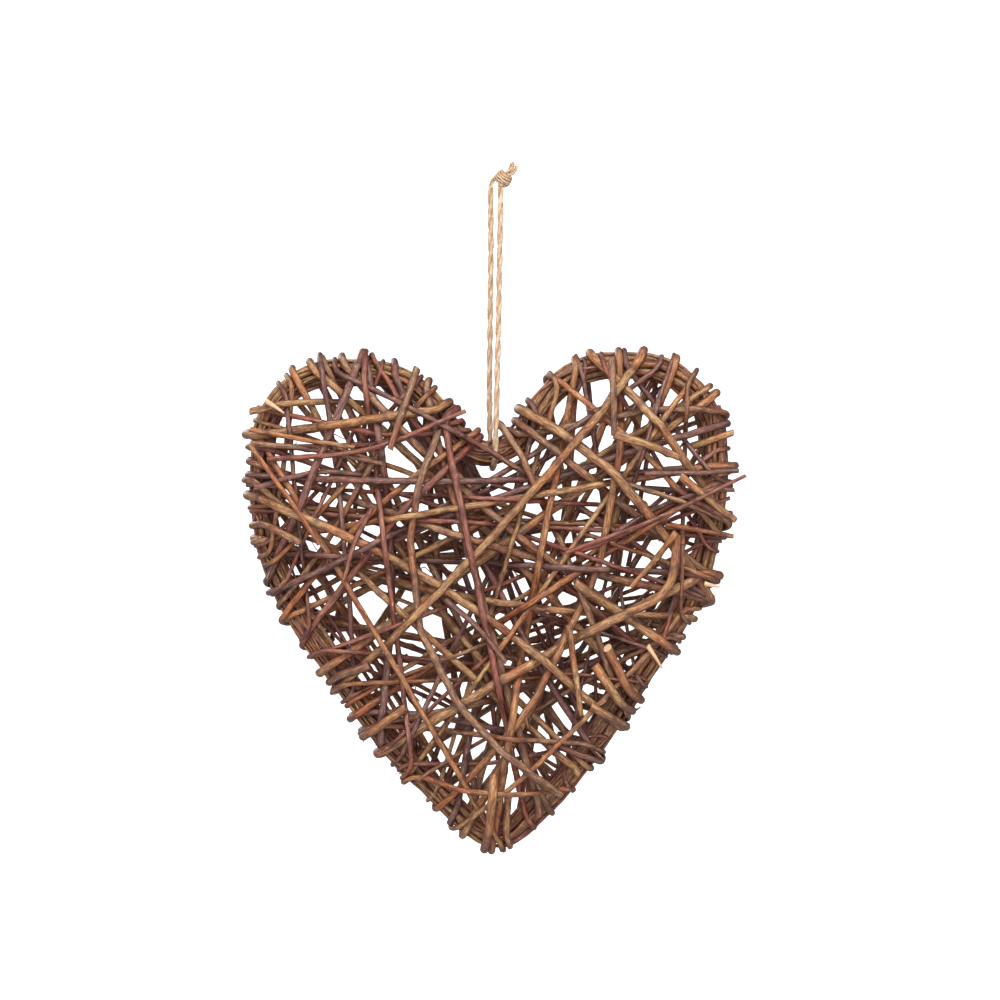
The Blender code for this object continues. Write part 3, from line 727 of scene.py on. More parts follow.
# %% Turns pressed on to the rim
SLIMNESS = 0.84
BUNDLE = 5.6 * MM
DRAWN_BUNDLE = 5.4 * MM
FIRST_LAYER = 2.4 * MM
DEEP_FROM = 20 * MM
DEEP_SHARE = 0.7
SQUEEZE = 0.6
PRESS_FADES = 0.6
COARSE = 4


def rim_outwards(index, reach=3):
    """The way out of the heart, in its plane, at points of the rim's middle line. The rim's own way
    there is read from a few points before to a few points after."""
    way = rim_line[(index + reach) % len(rim_line)] - rim_line[index - reach]
    out = np.stack([-way[..., 2], 0 * way[..., 0], way[..., 0]], axis=-1)
    return out / np.linalg.norm(out, axis=-1, keepdims=True)


def pressed_on(line):
    """The line with its turns round the rim pressed on to the bundle: where it is a distance d from
    the rim's middle line, d becomes the drawn bundle's plus the slimness times what is left, which is
    squeezed beyond the first layer. The change fades out over the faces, where the way from the rim
    points inwards. Depth is flattened beyond a limit."""
    nearest = np.linalg.norm(line[:, None] - rim_line[None, ::COARSE], axis=2).argmin(axis=1) * COARSE
    offset = line - rim_line[nearest]
    distance = np.linalg.norm(offset, axis=1)
    outwards = (offset * rim_outwards(nearest)).sum(axis=1) / distance
    share = np.clip((outwards + PRESS_FADES) / PRESS_FADES, 0, 1)
    rise = distance - BUNDLE
    rise = np.minimum(rise, FIRST_LAYER) + SQUEEZE * np.maximum(rise - FIRST_LAYER, 0)
    pressed = DRAWN_BUNDLE + SLIMNESS * rise
    line = line + offset * (share * (pressed / distance - 1))[:, None]
    depth = np.abs(line[:, 1])
    line[:, 1] -= np.sign(line[:, 1]) * (1 - DEEP_SHARE) * np.maximum(depth - DEEP_FROM, 0)
    return line


# %% Dress the weaving rods
EASING = 5
PRESSED_EASING = 3

for number, node in enumerate(weaving_nodes):
    read = middle_line(node, EASING)
    read[:, :3] = eased(pressed_on(read[:, :3]), PRESSED_EASING)
    read[:, 3] *= SLIMNESS
    piece = rod_piece(node + "_bark", read[:, :3], read[:, 3], tones[node], seed=100 + 10 * number)
    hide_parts(node)
    wound.append(read)
print("dressed", len(weaving_nodes), "weaving rods,", sum(len(read) for read in wound), "rings in all")

# %% [markdown]
# ## Thin rods that fill the weave
# Between the strong rods lie many thinner ones, some hardly more than twigs. Each is led the way a
# weaver leads it: over the front, round the rim, and back across the other face. How high it lies at
# each step is a puzzle, since it may not pass through a rod already there. The answer is found like
# the cheapest road over a map. Steps along the rod are the map's columns and heights its rows, a
# height that is taken costs dearly, and so does a steep change.

# %% Leading a rod round the rim
RIM_BUNDLE = 5.2 * MM
STEP = 1.6 * MM
TUCKED = 100
ON_FRONT = 8
ON_BACK = 172
rim_clock = np.degrees(np.arctan2(rim_line[:, 0], rim_line[:, 2] - HEART_MIDDLE)) % 360
clock_order = np.argsort(rim_clock)


def on_rim(clock):
    """Point of the rim at a clock angle in degrees, and the way out of the heart there."""
    index = clock_order[np.searchsorted(rim_clock[clock_order], clock % 360) % len(rim_line)]
    return rim_line[index], rim_outwards(index)


def run(start, end, bow):
    """A run across the heart's plane, bent sideways by a parabola."""
    way = end - start
    across = np.array([way[2], 0, -way[0]]) / np.linalg.norm(way)
    share = np.linspace(0, 1, max(4, round(np.linalg.norm(way) / STEP)))[:, None]
    return start + share * way + across * bow * 4 * share * (1 - share)


def wrap(point, out, start, end, ring):
    """A turn round the rim's bundle: the middle stays and the way out swings from front to back."""
    steps = max(3, round(abs(end - start) / 180 * math.pi * ring / STEP))
    turn = np.radians(np.linspace(start, end, steps))
    ways = np.sin(turn)[:, None] * out - np.cos(turn)[:, None] * [0, 1, 0]
    return np.repeat(point[None], len(turn), axis=0), ways


def facing(line, depth):
    """One way out for each point of a line: -1 to the front, 1 to the back."""
    return np.tile([0.0, depth, 0.0], (len(line), 1))


def led_round(start, end, third, thickness, bow, back_share):
    """Base points and ways out of a whole rod: tucked at its start, over the front, round the rim at
    its end, and a share of the way over the back, where its tip ends in the weave."""
    ring = RIM_BUNDLE + thickness / 2
    first, first_out = on_rim(start)
    second, second_out = on_rim(end)
    last, _ = on_rim(third)
    hook, hook_ways = wrap(first, first_out, TUCKED, ON_FRONT, ring)
    front = run(first, second, bow)
    bend, bend_ways = wrap(second, second_out, ON_FRONT, ON_BACK, ring)
    back = run(second, last, -bow)
    back = back[: max(4, int(back_share * len(back)))]
    ways = np.concatenate([hook_ways, facing(front, -1), bend_ways, facing(back, 1)])
    return np.concatenate([hook, front, bend, back]), ways


# %% Which heights other rods take
GAP = 0.1 * MM


def taken(base, ways, radius, others, other_radii, levels):
    """A table of steps by heights: how deep inside other rods a rod of this radius would be there,
    as a price. An other's point takes the heights where its distance is under both radii."""
    table = np.zeros((len(base), len(levels)))
    for index, (foot, way) in enumerate(zip(base, ways)):
        offsets = others - foot
        rise = offsets @ way
        aside = np.einsum("ij,ij->i", offsets, offsets) - rise**2
        reach = (other_radii + radius + GAP) ** 2
        near = aside < reach
        half = np.sqrt(reach[near] - aside[near])
        inside = half[:, None] - np.abs(levels[None] - rise[near][:, None])
        if len(inside):
            depth = np.clip(inside.max(axis=0), 0, None)
            table[index] = np.where(depth > 0, 1 + depth / MM, 0)
    return table


# %% The cheapest way through a table of prices
STEEPEST = 3
STEEP_PRICE = 2.0


def cheapest(price):
    """The cheapest way through a table of prices, row by row, where a change of height costs its
    square. Each row keeps the least sum to reach each height, and the way is read back from them."""
    total = price[0]
    shifts = np.arange(-STEEPEST, STEEPEST + 1)
    came = []
    for row in price[1:]:
        room = np.pad(total, STEEPEST, constant_values=np.inf)
        choices = np.stack([room[STEEPEST + s :][: len(total)] + STEEP_PRICE * s**2 for s in shifts])
        best = choices.argmin(axis=0)
        came.append(shifts[best])
        total = choices.min(axis=0) + row
    level = int(total.argmin())
    way = [level]
    for shift in reversed(came):
        level += int(shift[level])
        way.append(level)
    return np.array(way[::-1])


# %% Threading a rod between the others
LEVEL = 0.6 * MM
HOLLOW = 2.2 * MM
HIGHEST = 34 * MM
TAKEN_PRICE = 500.0


def heights_over(base, ways, radius, wanted, off_price):
    """The cheapest heights over some base points, past the rods already wound, where each mm off the
    wanted height costs its square times a price."""
    others = np.concatenate(wound)
    levels = np.arange(HOLLOW + radius, HIGHEST, LEVEL)
    price = off_price * ((levels[None] - wanted[:, None]) / MM) ** 2
    price = price + TAKEN_PRICE * taken(base, ways, radius, others[:, :3], others[:, 3], levels)
    return levels[cheapest(price)]


# %% Laying one thin rod
OFF_PRICE = 0.15
ON_RIM_PRICE = 5.0
RIM_ROOM = 0.4 * MM
THIN_TAPER = 0.15
THIN_EASING = 6
THIN_SIDES = 10
FACE_WAY = 0.99
FACE_RISE = 6


def lay(name, base, ways, thickness, tone, middle_height, seed):
    """Thread one thin rod, ease it, and make its surface. It is to lie near middle_height on a face
    and tight on the rim, and turns that lie on others there are squeezed."""
    ring = RIM_BUNDLE + thickness / 2
    rim_height = ring + RIM_ROOM
    on_face = np.abs(ways[:, 1]) > FACE_WAY
    edges = np.flatnonzero(np.diff(np.concatenate([[0], on_face.astype(int), [0]])))
    wanted = np.full(len(base), rim_height)
    for first, last in zip(edges[::2], edges[1::2]):
        share = np.linspace(0, 1, last - first)
        rise = np.minimum(1, FACE_RISE * share * (1 - share))
        wanted[first:last] += (middle_height - rim_height) * rise
    off_price = np.where(on_face, OFF_PRICE, ON_RIM_PRICE)[:, None]
    heights = heights_over(base, ways, thickness / 2, wanted, off_price)
    heights -= (1 - SQUEEZE) * np.sqrt(1 - ways[:, 1] ** 2) * np.maximum(heights - ring, 0)
    radii = 0.5 * thickness * np.linspace(1 + THIN_TAPER, 1 - THIN_TAPER, len(base))
    read = np.column_stack([base + ways * heights[:, None], radii])
    _, read = spaced(eased(read, THIN_EASING), RING_STEP)
    read = eased(read, THIN_EASING)
    wound.append(read)
    return rod_piece(name, read[:, :3], read[:, 3], tone, seed, sides=THIN_SIDES)


# %% The thin rods
# Start and end clock angles of the front run, thickness in mm, bow in mm, tone
THIN_RODS = [
    (57, 287, 3.3, 0, "tan"),
    (54, 217, 2.3, 0, "red"),
    (232, 60, 3.4, 0, "orange"),
    (80, 284, 3.0, 0, "plum"),
    (226, 144, 2.8, 0, "olive"),
    (345, 171, 3.3, 0, "red"),
    (307, 344, 4.4, 0, "tan"),
    (98, 203, 2.2, 0, "olive"),
    (243, 114, 2.2, 0, "orange"),
    (209, 139, 2.2, 7, "red"),
    (257, 116, 2.0, 0, "red"),
    (212, 21, 2.4, 0, "plum"),
    (305, 85, 2.5, 0, "red"),
    (309, 80, 2.5, 0, "tan"),
    (294, 70, 2.4, 0, "orange"),
    (16, 197, 2.4, 0, "tan"),
    (36, 158, 2.0, 4, "plum"),
    (324, 238, 2.6, -3, "plum"),
    (66, 102, 2.2, 2, "red"),
    (20, 116, 2.0, 0, "plum"),
    (340, 286, 2.2, 0, "red"),
    (28, 60, 2.4, 0, "plum"),
    (84, 326, 2.8, 6, "plum"),
    (276, 34, 2.8, 6, "plum"),
    (66, 298, 2.2, 0, "red"),
    (290, 104, 2.2, 0, "plum"),
    (238, 72, 2.0, 3, "olive"),
    (331, 207, 2.8, 0, "red"),
    (318, 284, 2.4, 0, "tan"),
    (342, 282, 2.6, 0, "orange"),
    (40, 92, 2.2, 0, "olive"),
    (334, 276, 2.0, 0, "red"),
    (24, 74, 2.2, 0, "red"),
    (316, 262, 2.2, 0, "plum"),
]
print("thin rods", len(THIN_RODS))

# %% Lay the thin rods
GOLDEN_ANGLE = 137.5
LEAST_APART = 70
NOTCH_HALF_WIDTH = 9
NOTCH_BOTTOM = -142 * MM
DEEP = 4.5 * MM
DEEP_STEP = 0.15 * MM
# Rods that turn round the lower rim, between these clock angles, keep only a short tip at the back
LOWER_RIM = (95, 265)
SHORT_BACK = 0.15
LONG_BACK = 0.5


def third_clock(end, number):
    """Where a back run ends: steps of the golden angle, kept off the wrap and off the open notch."""
    for turned in (0, 180, 90, 270, 45):
        clock = (50 + GOLDEN_ANGLE * number + turned) % 360
        (left, _, low), (right, _, high) = on_rim(end)[0], on_rim(clock)[0]
        over = left * right < 0 and low + (high - low) * left / (left - right) > NOTCH_BOTTOM
        apart = abs((clock - end + 180) % 360 - 180)
        near_notch = min(clock, 360 - clock) < NOTCH_HALF_WIDTH
        if apart > LEAST_APART and not over and not near_notch:
            break
    return clock


for number, (start, end, thickness, bow, tone) in enumerate(THIN_RODS):
    back_share = SHORT_BACK if LOWER_RIM[0] < end < LOWER_RIM[1] else LONG_BACK
    base, ways = led_round(start, end, third_clock(end, number), thickness * MM, bow * MM, back_share)
    name = f"thin_rod_{number + 1:02d}"
    height = DEEP + DEEP_STEP * number
    lay(name, base, ways, thickness * MM, tone, height, seed=2000 + 10 * number)
print("rods wound", len(wound))

# %% Short hooks round the rim
# Clock angle where each turns round the rim, the point inside where it starts, thickness and tone
HOOKS = [
    (121.4, (56, -229), 4.2, "orange"),
    (126, (50, -238), 4.4, "tan"),
    (132, (48, -258), 4.0, "tan"),
    (67, (90, -150), 3.6, "red"),
    (290.6, (-96, -177), 3.6, "tan"),
    (246.7, (-62, -238), 4.0, "olive"),
    (224.3, (-44, -259), 4.0, "orange"),
    (101, (40, -197), 4.4, "tan"),
    (181, (0, -292), 4.4, "orange"),
    (177, (7, -303), 3.4, "tan"),
]
HOOK_BACK = 14 * MM
HOOK_HEIGHT = 15 * MM


def hook_round(clock, inside, thickness):
    """Base points and ways out of a short rod: from a point inside over the rim and a little way
    back inwards across the other face."""
    point, out = on_rim(clock)
    inner = np.array([inside[0], 0, inside[1]]) * MM
    front = run(inner, point, 0)
    bend, bend_ways = wrap(point, out, ON_FRONT, ON_BACK, RIM_BUNDLE + thickness / 2)
    slant = point - inner
    slant = slant - 2 * (slant @ out) * out
    back = run(point, point + HOOK_BACK * slant / np.linalg.norm(slant), 0)
    ways = np.concatenate([facing(front, -1), bend_ways, facing(back, 1)])
    return np.concatenate([front, bend, back]), ways


for number, (clock, inside, thickness, tone) in enumerate(HOOKS):
    base, ways = hook_round(clock, inside, thickness * MM)
    name = f"hook_rod_{number + 1}"
    lay(name, base, ways, thickness * MM, tone, HOOK_HEIGHT, seed=2600 + 10 * number)
print("hooks", len(HOOKS))

# %% Thin strands laid along the rim
RIM_STRANDS = 18


def strand_line(seed):
    """A strand that runs along part of the rim: the rim's middle line plus a ring that turns slowly,
    ring(s) = reach (cos turn out + sin turn back)."""
    own = np.random.default_rng(seed)
    first = own.integers(0, len(rim_line))
    count = int(own.uniform(0.35, 0.8) * len(rim_line))
    index = (first + np.arange(count)) % len(rim_line)
    turn = own.uniform(0, 6) + own.uniform(-2.2, 2.2) * np.linspace(0, 1, count) * 2 * math.pi
    reach = own.uniform(5.2, 6.6) * MM
    reach = reach + 0.5 * MM * lumps(np.arange(count) * MM, seed + 1, 60 * MM)
    ring = np.cos(turn)[:, None] * rim_outwards(index, 2) + np.sin(turn)[:, None] * [0, 1, 0]
    return rim_line[index] + reach[:, None] * ring, own.uniform(0.65, 1.15) * MM


for number in range(RIM_STRANDS):
    line, radius = strand_line(3000 + 10 * number)
    radii = radius * np.linspace(1.2, 0.6, len(line))
    tone = ("rim", "tan", "red")[number % 3]
    rod_piece(f"rim_strand_{number + 1}", eased(line, 10), radii, tone, 3005 + 10 * number, sides=8)
print("rim strands", RIM_STRANDS)

# %% Stubs, short rods and peeled splinters
# Ends that were cut or broken off short, as points across the picture in mm and a thickness
SHORT_RODS = [
    ([(-38, -91), (-45, -112), (-51, -131)], 3.6, "olive"),
    ([(58, -86), (59, -104), (59, -124)], 3.4, "olive"),
    ([(90, -173), (89.5, -186), (86.5, -198), (78, -206), (66, -211)], 4.4, "orange"),
    ([(89.5, -172), (80, -185), (68, -199)], 3.0, "tan"),
    ([(37, -218), (40, -240), (43, -262)], 3.2, "tan"),
    ([(-24, -205), (-8, -219), (6, -236)], 2.8, "plum"),
    ([(-60, -160), (-68, -176), (-74, -196)], 2.6, "red"),
    ([(59.5, -124), (76, -129), (91, -135)], 4.2, "tan"),
    ([(92, -144.5), (106, -156), (119, -166)], 3.8, "tan"),
    ([(98, -129.5), (109, -126), (119, -122.5)], 3.8, "tan"),
    ([(-121, -128), (-108, -146), (-94, -165), (-86, -178)], 2.4, "orange"),
    ([(35.5, -182), (80, -165), (124, -144)], 2.2, "red"),
    ([(85, -168), (103, -171), (118.5, -174)], 2.6, "orange"),
]
# The same for rods that lie deeper in the two lobes
LOBE_RODS = [
    ([(-121, -112), (-100, -108), (-82, -107), (-60, -108)], 3.4, "tan"),
    ([(-121, -121), (-95, -126), (-69, -130)], 2.6, "tan"),
    ([(-120, -128), (-90, -131), (-55, -138)], 2.8, "olive"),
    ([(-112, -136), (-62, -131), (-14, -112)], 2.6, "red"),
    ([(-118, -150), (-85, -142), (-50, -146)], 2.6, "plum"),
    ([(75, -143), (100, -142.5), (121, -141.5)], 2.8, "plum"),
    ([(70, -150), (95, -151), (119, -151)], 2.6, "plum"),
    ([(60, -172), (85, -158), (114, -149)], 2.4, "plum"),
    ([(62, -181), (88, -166), (117, -155)], 2.4, "red"),
    ([(66, -148), (90, -156), (116, -167)], 2.6, "olive"),
]
# Splinters with their bark peeled off
PEELED = [
    ([(104.5, -197.5), (108, -198.3), (111.5, -199)], 2.6),
    ([(76, -228), (80, -234), (83, -239)], 2.6),
    ([(-113, -107), (-108, -110), (-104, -113)], 2.8),
]
print("short rods", len(LOBE_RODS + SHORT_RODS), "splinters", len(PEELED))

# %% Lay them on the weave
RESTING_REACH = 5 * MM
SHORT_OFF_PRICE = 0.06
SHORT_EASING = 4
LOBE_DEPTH = 9 * MM


def resting(line, radius):
    """How far forward a rod lies that rests on the weave: on the foremost rod near each point."""
    others = np.concatenate(wound)
    aside = np.hypot(line[:, None, 0] - others[:, 0], line[:, None, 2] - others[:, 2])
    fronts = np.where(aside < RESTING_REACH, others[:, 3] - others[:, 1], -1).max(axis=1)
    found = np.flatnonzero(fronts > 0)
    return np.interp(np.arange(len(line)), found, fronts[found]) + radius


def lifted(flat, thickness, narrows_to, wanted=None):
    """A short rod's middle line over the front and its radii: each point about as far forward as
    wanted, or else resting on the weave, where nothing there is in the way."""
    radius = 0.5 * thickness * MM
    line = smooth_line(np.array([[x, 0, z] for x, z in flat]) * MM, 10)
    _, line = spaced(line, STEP)
    forward = facing(line, -1)
    wanted = resting(line, radius) if wanted is None else np.full(len(line), wanted)
    line = line + forward * heights_over(line, forward, radius, wanted, SHORT_OFF_PRICE)[:, None]
    return eased(line, SHORT_EASING), radius * np.linspace(1.1, narrows_to, len(line))


for number, (flat, thickness, tone) in enumerate(LOBE_RODS + SHORT_RODS):
    line, radii = lifted(flat, thickness, 0.85, LOBE_DEPTH if number < len(LOBE_RODS) else None)
    wound.append(np.column_stack([line, radii]))
    rod_piece(f"short_rod_{number + 1}", line, radii, tone, 4000 + 10 * number)
for number, (flat, thickness) in enumerate(PEELED):
    line, radii = lifted(flat, thickness, 0.4)
    rod_piece(f"peeled_splinter_{number + 1}", line, radii, "tan", 4500 + 10 * number, peeled=True)
print("rods wound", len(wound))

# %% Side shoots
LONGEST_AT_RIM = 4 * MM
LEAST_RINGS = 40
MOST_SHOOTS = 5
CLEAR_OF_ENDS = 8
SHOOT_TONES = ("red", "tan", "olive", "plum")


def unit(vector):
    return vector / np.linalg.norm(vector)


def sideways(way, draws):
    """A direction drawn at random, square to the way."""
    off = draws.normal(size=3)
    return unit(off - (off @ way) * way)


def shoot_lines(read, seed):
    """Side shoots of a rod: short twigs that leave it at a slant, snapped off after a few mm."""
    own = np.random.default_rng(seed)
    line = read[:, :3]
    made = []
    for _ in range(own.integers(1, MOST_SHOOTS + 1) if len(line) > LEAST_RINGS else 0):
        index = own.integers(CLEAR_OF_ENDS, len(line) - CLEAR_OF_ENDS)
        way = unit(line[index + 2] - line[index - 2])
        off = sideways(way, own)
        length = own.choice([own.uniform(1.5, 5), own.uniform(5, 14)], p=[0.75, 0.25]) * MM
        to_rim = np.linalg.norm(rim_line[::8] - line[index], axis=1).min()
        if to_rim < length + 2 * LONGEST_AT_RIM:
            length = min(length, LONGEST_AT_RIM)
        share = np.linspace(0, 1, 5)[:, None]
        curve = 0.25 * own.normal(size=3)
        slant = way * own.uniform(0.5, 1) + off * own.uniform(0.5, 0.9)
        root = line[index] + 0.6 * read[index, 3] * off
        made.append((root + length * (share * slant + share**2 * curve), own.uniform(0.25, 0.6) * MM))
    return made


shoots = [shoot for number, read in enumerate(wound) for shoot in shoot_lines(read, 5000 + number)]
surfaces = []
for number, (line, radius) in enumerate(shoots):
    surfaces.append(rod_surface(line, radius * np.linspace(1.3, 0.5, 5), 6000 + 10 * number, sides=6))
for number, tone in enumerate(SHOOT_TONES):
    rods_piece(f"side_shoots_{tone}", surfaces[number :: len(SHOOT_TONES)], tone)
print("side shoots", len(shoots))

# %% [markdown]
# ## The hanging twine
# Jute twine is two plies wound round each other, each a bundle of coarse fibres. The path is a smooth
# curve from the knot, down to the notch, round the rim's bundle and back up. Each ply keeps to one
# side of the path while that side turns once every few millimetres. Loose fibres stand off it, and
# the knot on top is a short coil of five turns round both legs, with two frayed tails.

# %% The twine's path
TWINE_RADIUS = 1.25 * MM
LOOP_DROP = 133 * MM
TWINE_GAP = 0.3 * MM
RIM_RING = 5.55 * MM + TWINE_GAP + TWINE_RADIUS
TWINE_STEP = 0.35 * MM

down = [(3.2, -1.4, 0.3), (3.3, -1.8, -8), (2.9, -2.4, -30), (2.3, -4.0, -64), (1.4, -6.2, -104)]
rise = [(-2.3, 6.0, -104), (-1.9, 4.0, -64), (-1.6, 2.2, -30), (-1.7, 1.6, -8), (-1.6, 1.2, 0.3)]
route = [np.array(point) * MM for point in down]
for turn in np.radians(np.arange(0, 181, 30)):
    across = 0.6 * MM - 2.4 * MM * turn / math.pi
    route.append(np.array([across, -RIM_RING * math.cos(turn), -LOOP_DROP - RIM_RING * math.sin(turn)]))
route += [np.array(point) * MM for point in rise]
even, twine_path = spaced(smooth_line(route, 16), TWINE_STEP)
print("twine", round(even[-1] / MM), "mm")

# %% The plies' jute
FIBRE_DARK = (0.30, 0.195, 0.11, 1)
FIBRE_PALE = (0.53, 0.415, 0.29, 1)
STRAW = (0.61, 0.50, 0.39, 1)
# Brown of the painted shade between plies and turns, and of the frayed tails' own tone
SHADE_AND_TAIL_BROWN = (0.24, 0.115, 0.045, 1)
BLOTCH_BROWN = (0.36, 0.19, 0.08, 1)

jute, tree, shader = new_material("jute_twine")
strand = stored(tree, "fibre_space", "Vector")
fibres = noise(tree, drawn_out(tree, strand, 0.06), 5200, 3)
blotches = noise(tree, strand, 320, 2)
colour = mixed(tree, banded(tree, fibres, 0.35, 0.65), FIBRE_DARK, FIBRE_PALE)
for cover, strength, over in (
    (banded(tree, blotches, 0.45, 0.7), 0.6, STRAW),
    # Painted shade: a stored value darkens the creases between the plies and between the knot's turns
    # towards this brown; on the frayed tails it is at least their own darker tone
    (stored(tree, "painted_shade_and_tail_tone"), 0.75, SHADE_AND_TAIL_BROWN),
    (banded(tree, blotches, 0.36, 0.28), 0.7, BLOTCH_BROWN),
):
    colour = mixed(tree, times(tree, cover, strength), colour, over)
fill(shader, {"Base Color": colour, "Roughness": 0.85, "Normal": bumped(tree, fibres, 0.15 * MM)})
print("jute", len(tree.nodes), "nodes")

# %% The surface of a ply
PLY_SIDES = 10
PLY_LUMPS = 11 * MM
# Where the painted shade in the creases between the plies starts, and over how much it fades
CREASE_SHADE_STARTS = 0.84
CREASE_SHADE_FADES = 0.2
TWINE_THINS_OVER = 4 * MM


def ply_rings(path, even, phase, ply_radius, offset, pitch, thin_ends=0.0):
    """Rings of one ply: its middle is the path plus an offset that turns once a pitch, and its edge
    is ridged, which follows the fibres' own slant. Points that lie near the path, between the
    plies, come with a value for painted shade."""
    side, up, _ = carried_sides(path)
    turn = 2 * math.pi * even / pitch + phase
    middle = path + offset * (np.cos(turn)[:, None] * side + np.sin(turn)[:, None] * up)
    ridges = 1 + 0.06 * np.cos(4 * angles(PLY_SIDES)[None] - 2.5 * turn[:, None] + 5 * phase)
    radius = ply_radius * ridges * (1 + 0.06 * lumps(even, int(10 * phase) + 5, PLY_LUMPS))[:, None]
    near_end = np.minimum(even, even[-1] - even)[:, None]
    radius = radius * (1 - thin_ends * np.exp(-((near_end / TWINE_THINS_OVER) ** 2)))
    ring_side, ring_up, _ = carried_sides(middle)
    shell = middle[:, None] + radius[..., None] * ring_ways(ring_side, ring_up, PLY_SIDES)
    space = straightened(ply_radius, PLY_SIDES, even) + [phase, 0, 0]
    deep = np.linalg.norm(shell - path[:, None], axis=2) / (ply_radius + offset)
    # Painted shade: the nearer a point lies to the path, between the plies, the darker it is painted
    return shell, space, middle, np.clip((CREASE_SHADE_STARTS - deep) / CREASE_SHADE_FADES, 0, 1)


def strands(name, tubes):
    """One piece of several tubes of rings, each closed by a middle point at both ends."""
    surfaces = []
    for rings, space, middle, painted_shade_and_tail_tone in tubes:
        points = np.concatenate([rings.reshape(-1, 3), middle[[0, -1]]])
        spaces = np.concatenate([space.reshape(-1, 3), space[[0, -1], 0]])
        surfaces.append((points, tube_faces(*painted_shade_and_tail_tone.shape), (spaces, np.append(painted_shade_and_tail_tone.ravel(), [0, 0]))))
    return joined_piece(name, surfaces, jute, ("fibre_space", "painted_shade_and_tail_tone"))


# %% The two plies of the twine
PLY_RADIUS = 1.08 * MM
PLY_OFFSET = 0.46 * MM
PLY_PITCH = 23 * MM
TWINE_THINS_BY = 0.15

plies = []
for phase in (0.0, math.pi):
    plies.append(ply_rings(twine_path, even, phase, PLY_RADIUS, PLY_OFFSET, PLY_PITCH, TWINE_THINS_BY))
twine = strands("twine_plies", plies)
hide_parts("hanging_twine")
print("twine plies", len(twine.data.vertices), "points")

# %% The knot's coil
KNOT_MIDDLE = np.array([4.5, 0.0, 4.7]) * MM
KNOT_AXIS = np.array([0.56, -0.42, 0.71])
KNOT_SIDE = np.array([0.785, 0.0, -0.62])
KNOT_RING = 3.9 * MM
KNOT_FLATNESS = 0.7
KNOT_TURNS = 5.0
KNOT_PITCH = 1.25 * MM


def knot_coil():
    """The strand that goes round the knot: a short coil on a slanting axis, fullest at its middle.
    Its point at turn t is the axis's point at t pitches plus ring(t) (cos t side + sin t up)."""
    turn = np.linspace(0, KNOT_TURNS * 2 * math.pi, 110)
    share = turn / turn[-1]
    up = np.cross(KNOT_AXIS, KNOT_SIDE)
    ring = KNOT_RING * (0.74 + 0.26 * np.sin(math.pi * share) + 0.04 * lumps(turn, 7, 9))[:, None]
    along_axis = (KNOT_PITCH * KNOT_TURNS * (share - 0.5) + 0.35 * MM * lumps(turn, 8, 8))[:, None]
    round_axis = np.cos(turn)[:, None] * KNOT_SIDE + KNOT_FLATNESS * np.sin(turn)[:, None] * up
    return KNOT_MIDDLE + along_axis * KNOT_AXIS + ring * round_axis


# %% The knot and its frayed tails
# The two tails and the strands inside the knot, as points in mm
LEFT_TAIL = [(3.6, 0.2, 4.6), (5.8, 0.4, 6.2), (7.4, 0.3, 8.2), (8.6, 0.2, 10.4), (9.2, 0.1, 12.2)]
RIGHT_TAIL = [(4.6, -0.6, 4.4), (7.0, -0.9, 5.8), (8.8, -0.9, 7.2), (10.0, -0.7, 8.7), (10.7, -0.5, 10.0)]
LEFT_LEG = [(-1.7, 1.3, -1.0), (-1.3, 1.0, 2.4), (0.6, 0.7, 5.4), (3.0, 0.4, 6.4), (5.6, 0.2, 5.2)]
RIGHT_LEG = [(3.2, -1.4, 0.5), (3.3, -1.2, 1.8), (3.4, -0.6, 3.2), (3.9, 0.2, 5.2)]
TAIL_DARKNESS = 0.3
TAIL_RADIUS = 0.78 * MM
COIL_RADIUS = 0.7 * MM
COIL_PLY_OFFSET = 0.05 * MM
COIL_PLY_PITCH = 9 * MM
# Where the painted shade between the coil's turns starts, and over how much it fades
COIL_SHADE_STARTS = 0.5
COIL_SHADE_FADES = 0.35
KNOT_PLY_OFFSET = 0.45 * MM
KNOT_PLY_PITCH = 14 * MM

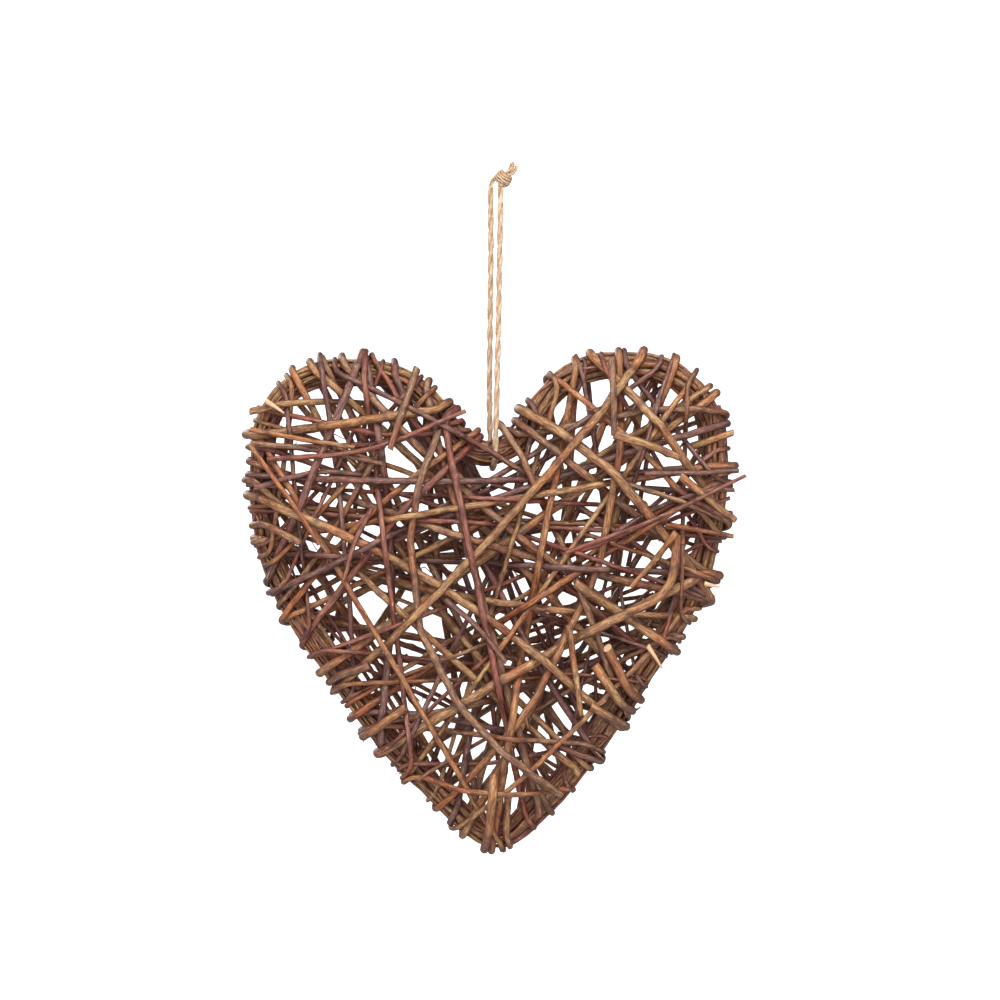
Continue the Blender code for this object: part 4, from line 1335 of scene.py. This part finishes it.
even_coil, coil = spaced(knot_coil(), TWINE_STEP)
rings, space, middle, _ = ply_rings(coil, even_coil, 1.0, COIL_RADIUS, COIL_PLY_OFFSET, COIL_PLY_PITCH)
# Painted shade between the coil's turns: darker where the surface faces along the knot's axis
along_coil = np.abs((rings - middle[:, None]) @ KNOT_AXIS) / COIL_RADIUS
coil_painted_shade = np.clip((along_coil - COIL_SHADE_STARTS) / COIL_SHADE_FADES, 0, 1)
knot_strands = [(rings, space, middle, coil_painted_shade)]
tails = []
for seed, (path, radius, darkness) in enumerate((
    (LEFT_TAIL, TAIL_RADIUS, TAIL_DARKNESS),
    (RIGHT_TAIL, TAIL_RADIUS, TAIL_DARKNESS),
    (LEFT_LEG, 0.62 * MM, 0.0),
    (RIGHT_LEG, 0.9 * MM, 0.0),
), start=2):
    even_part, smooth = spaced(smooth_line(np.array(path) * MM, 8), TWINE_STEP)
    if darkness:
        tails.append(smooth)
    for phase in (seed, seed + math.pi):
        ply = ply_rings(smooth, even_part, phase, radius, KNOT_PLY_OFFSET, KNOT_PLY_PITCH)
        # Painted shade in the creases, and on the tails at least their own darker tone
        knot_strands.append((*ply[:3], np.maximum(ply[3], darkness)))
knot = strands("knot_turns", knot_strands)
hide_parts("twine_knot")
print("knot", len(knot_strands), "plies")

# %% Fibres that stand off a strand
chance = np.random.default_rng(14)


def hair(root, way, length, bend, radius):
    """A fibre as a three-sided tube: it starts in the strand, bends over and thins to a point."""
    share = np.linspace(0, 1, 6)[:, None]
    line = root + length * (share * way + share**2 * bend)
    side, up, _ = carried_sides(line)
    rings = line[:, None] + radius * (1 - 0.8 * share)[..., None] * ring_ways(side, up, 3)
    return rings, np.broadcast_to(root, rings.shape), line, np.zeros(rings.shape[:2])


def hairs_along(path, count, longest, radius):
    """Fibres from random places of a path, mostly along it and leaning off to one side."""
    made = []
    ways = np.gradient(path, axis=0)
    for index in chance.integers(2, len(path) - 2, count):
        along = unit(ways[index])
        off = sideways(along, chance)
        way = along * chance.uniform(0.3, 1) * chance.choice([-1, 1]) + off * chance.uniform(0.25, 0.8)
        bend = chance.normal(size=3) * 0.3
        root = path[index] + off * 0.8 * MM
        made.append(hair(root, way, longest * chance.uniform(0.35, 1), bend, radius))
    return made


# %% Loose fibres
HAIRS_ON_TWINE = 170
HAIRS_ON_TAILS = 46
HAIRS_AT_ENDS = 26

fuzz = hairs_along(twine_path, HAIRS_ON_TWINE, 4.2 * MM, 0.05 * MM)
for tail in tails:
    fuzz += hairs_along(tail, HAIRS_ON_TAILS, 3.2 * MM, 0.07 * MM)
    for _ in range(HAIRS_AT_ENDS):
        spread = unit(tail[-1] - tail[-3]) + chance.normal(size=3) * 0.35
        root = tail[-2] + chance.normal(size=3) * 0.45 * MM
        length = chance.uniform(1.2, 3.0) * MM
        fuzz.append(hair(root, spread, length, chance.normal(size=3) * 0.2, 0.09 * MM))
loose = strands("loose_fibres", fuzz)
print("fibres", len(fuzz))
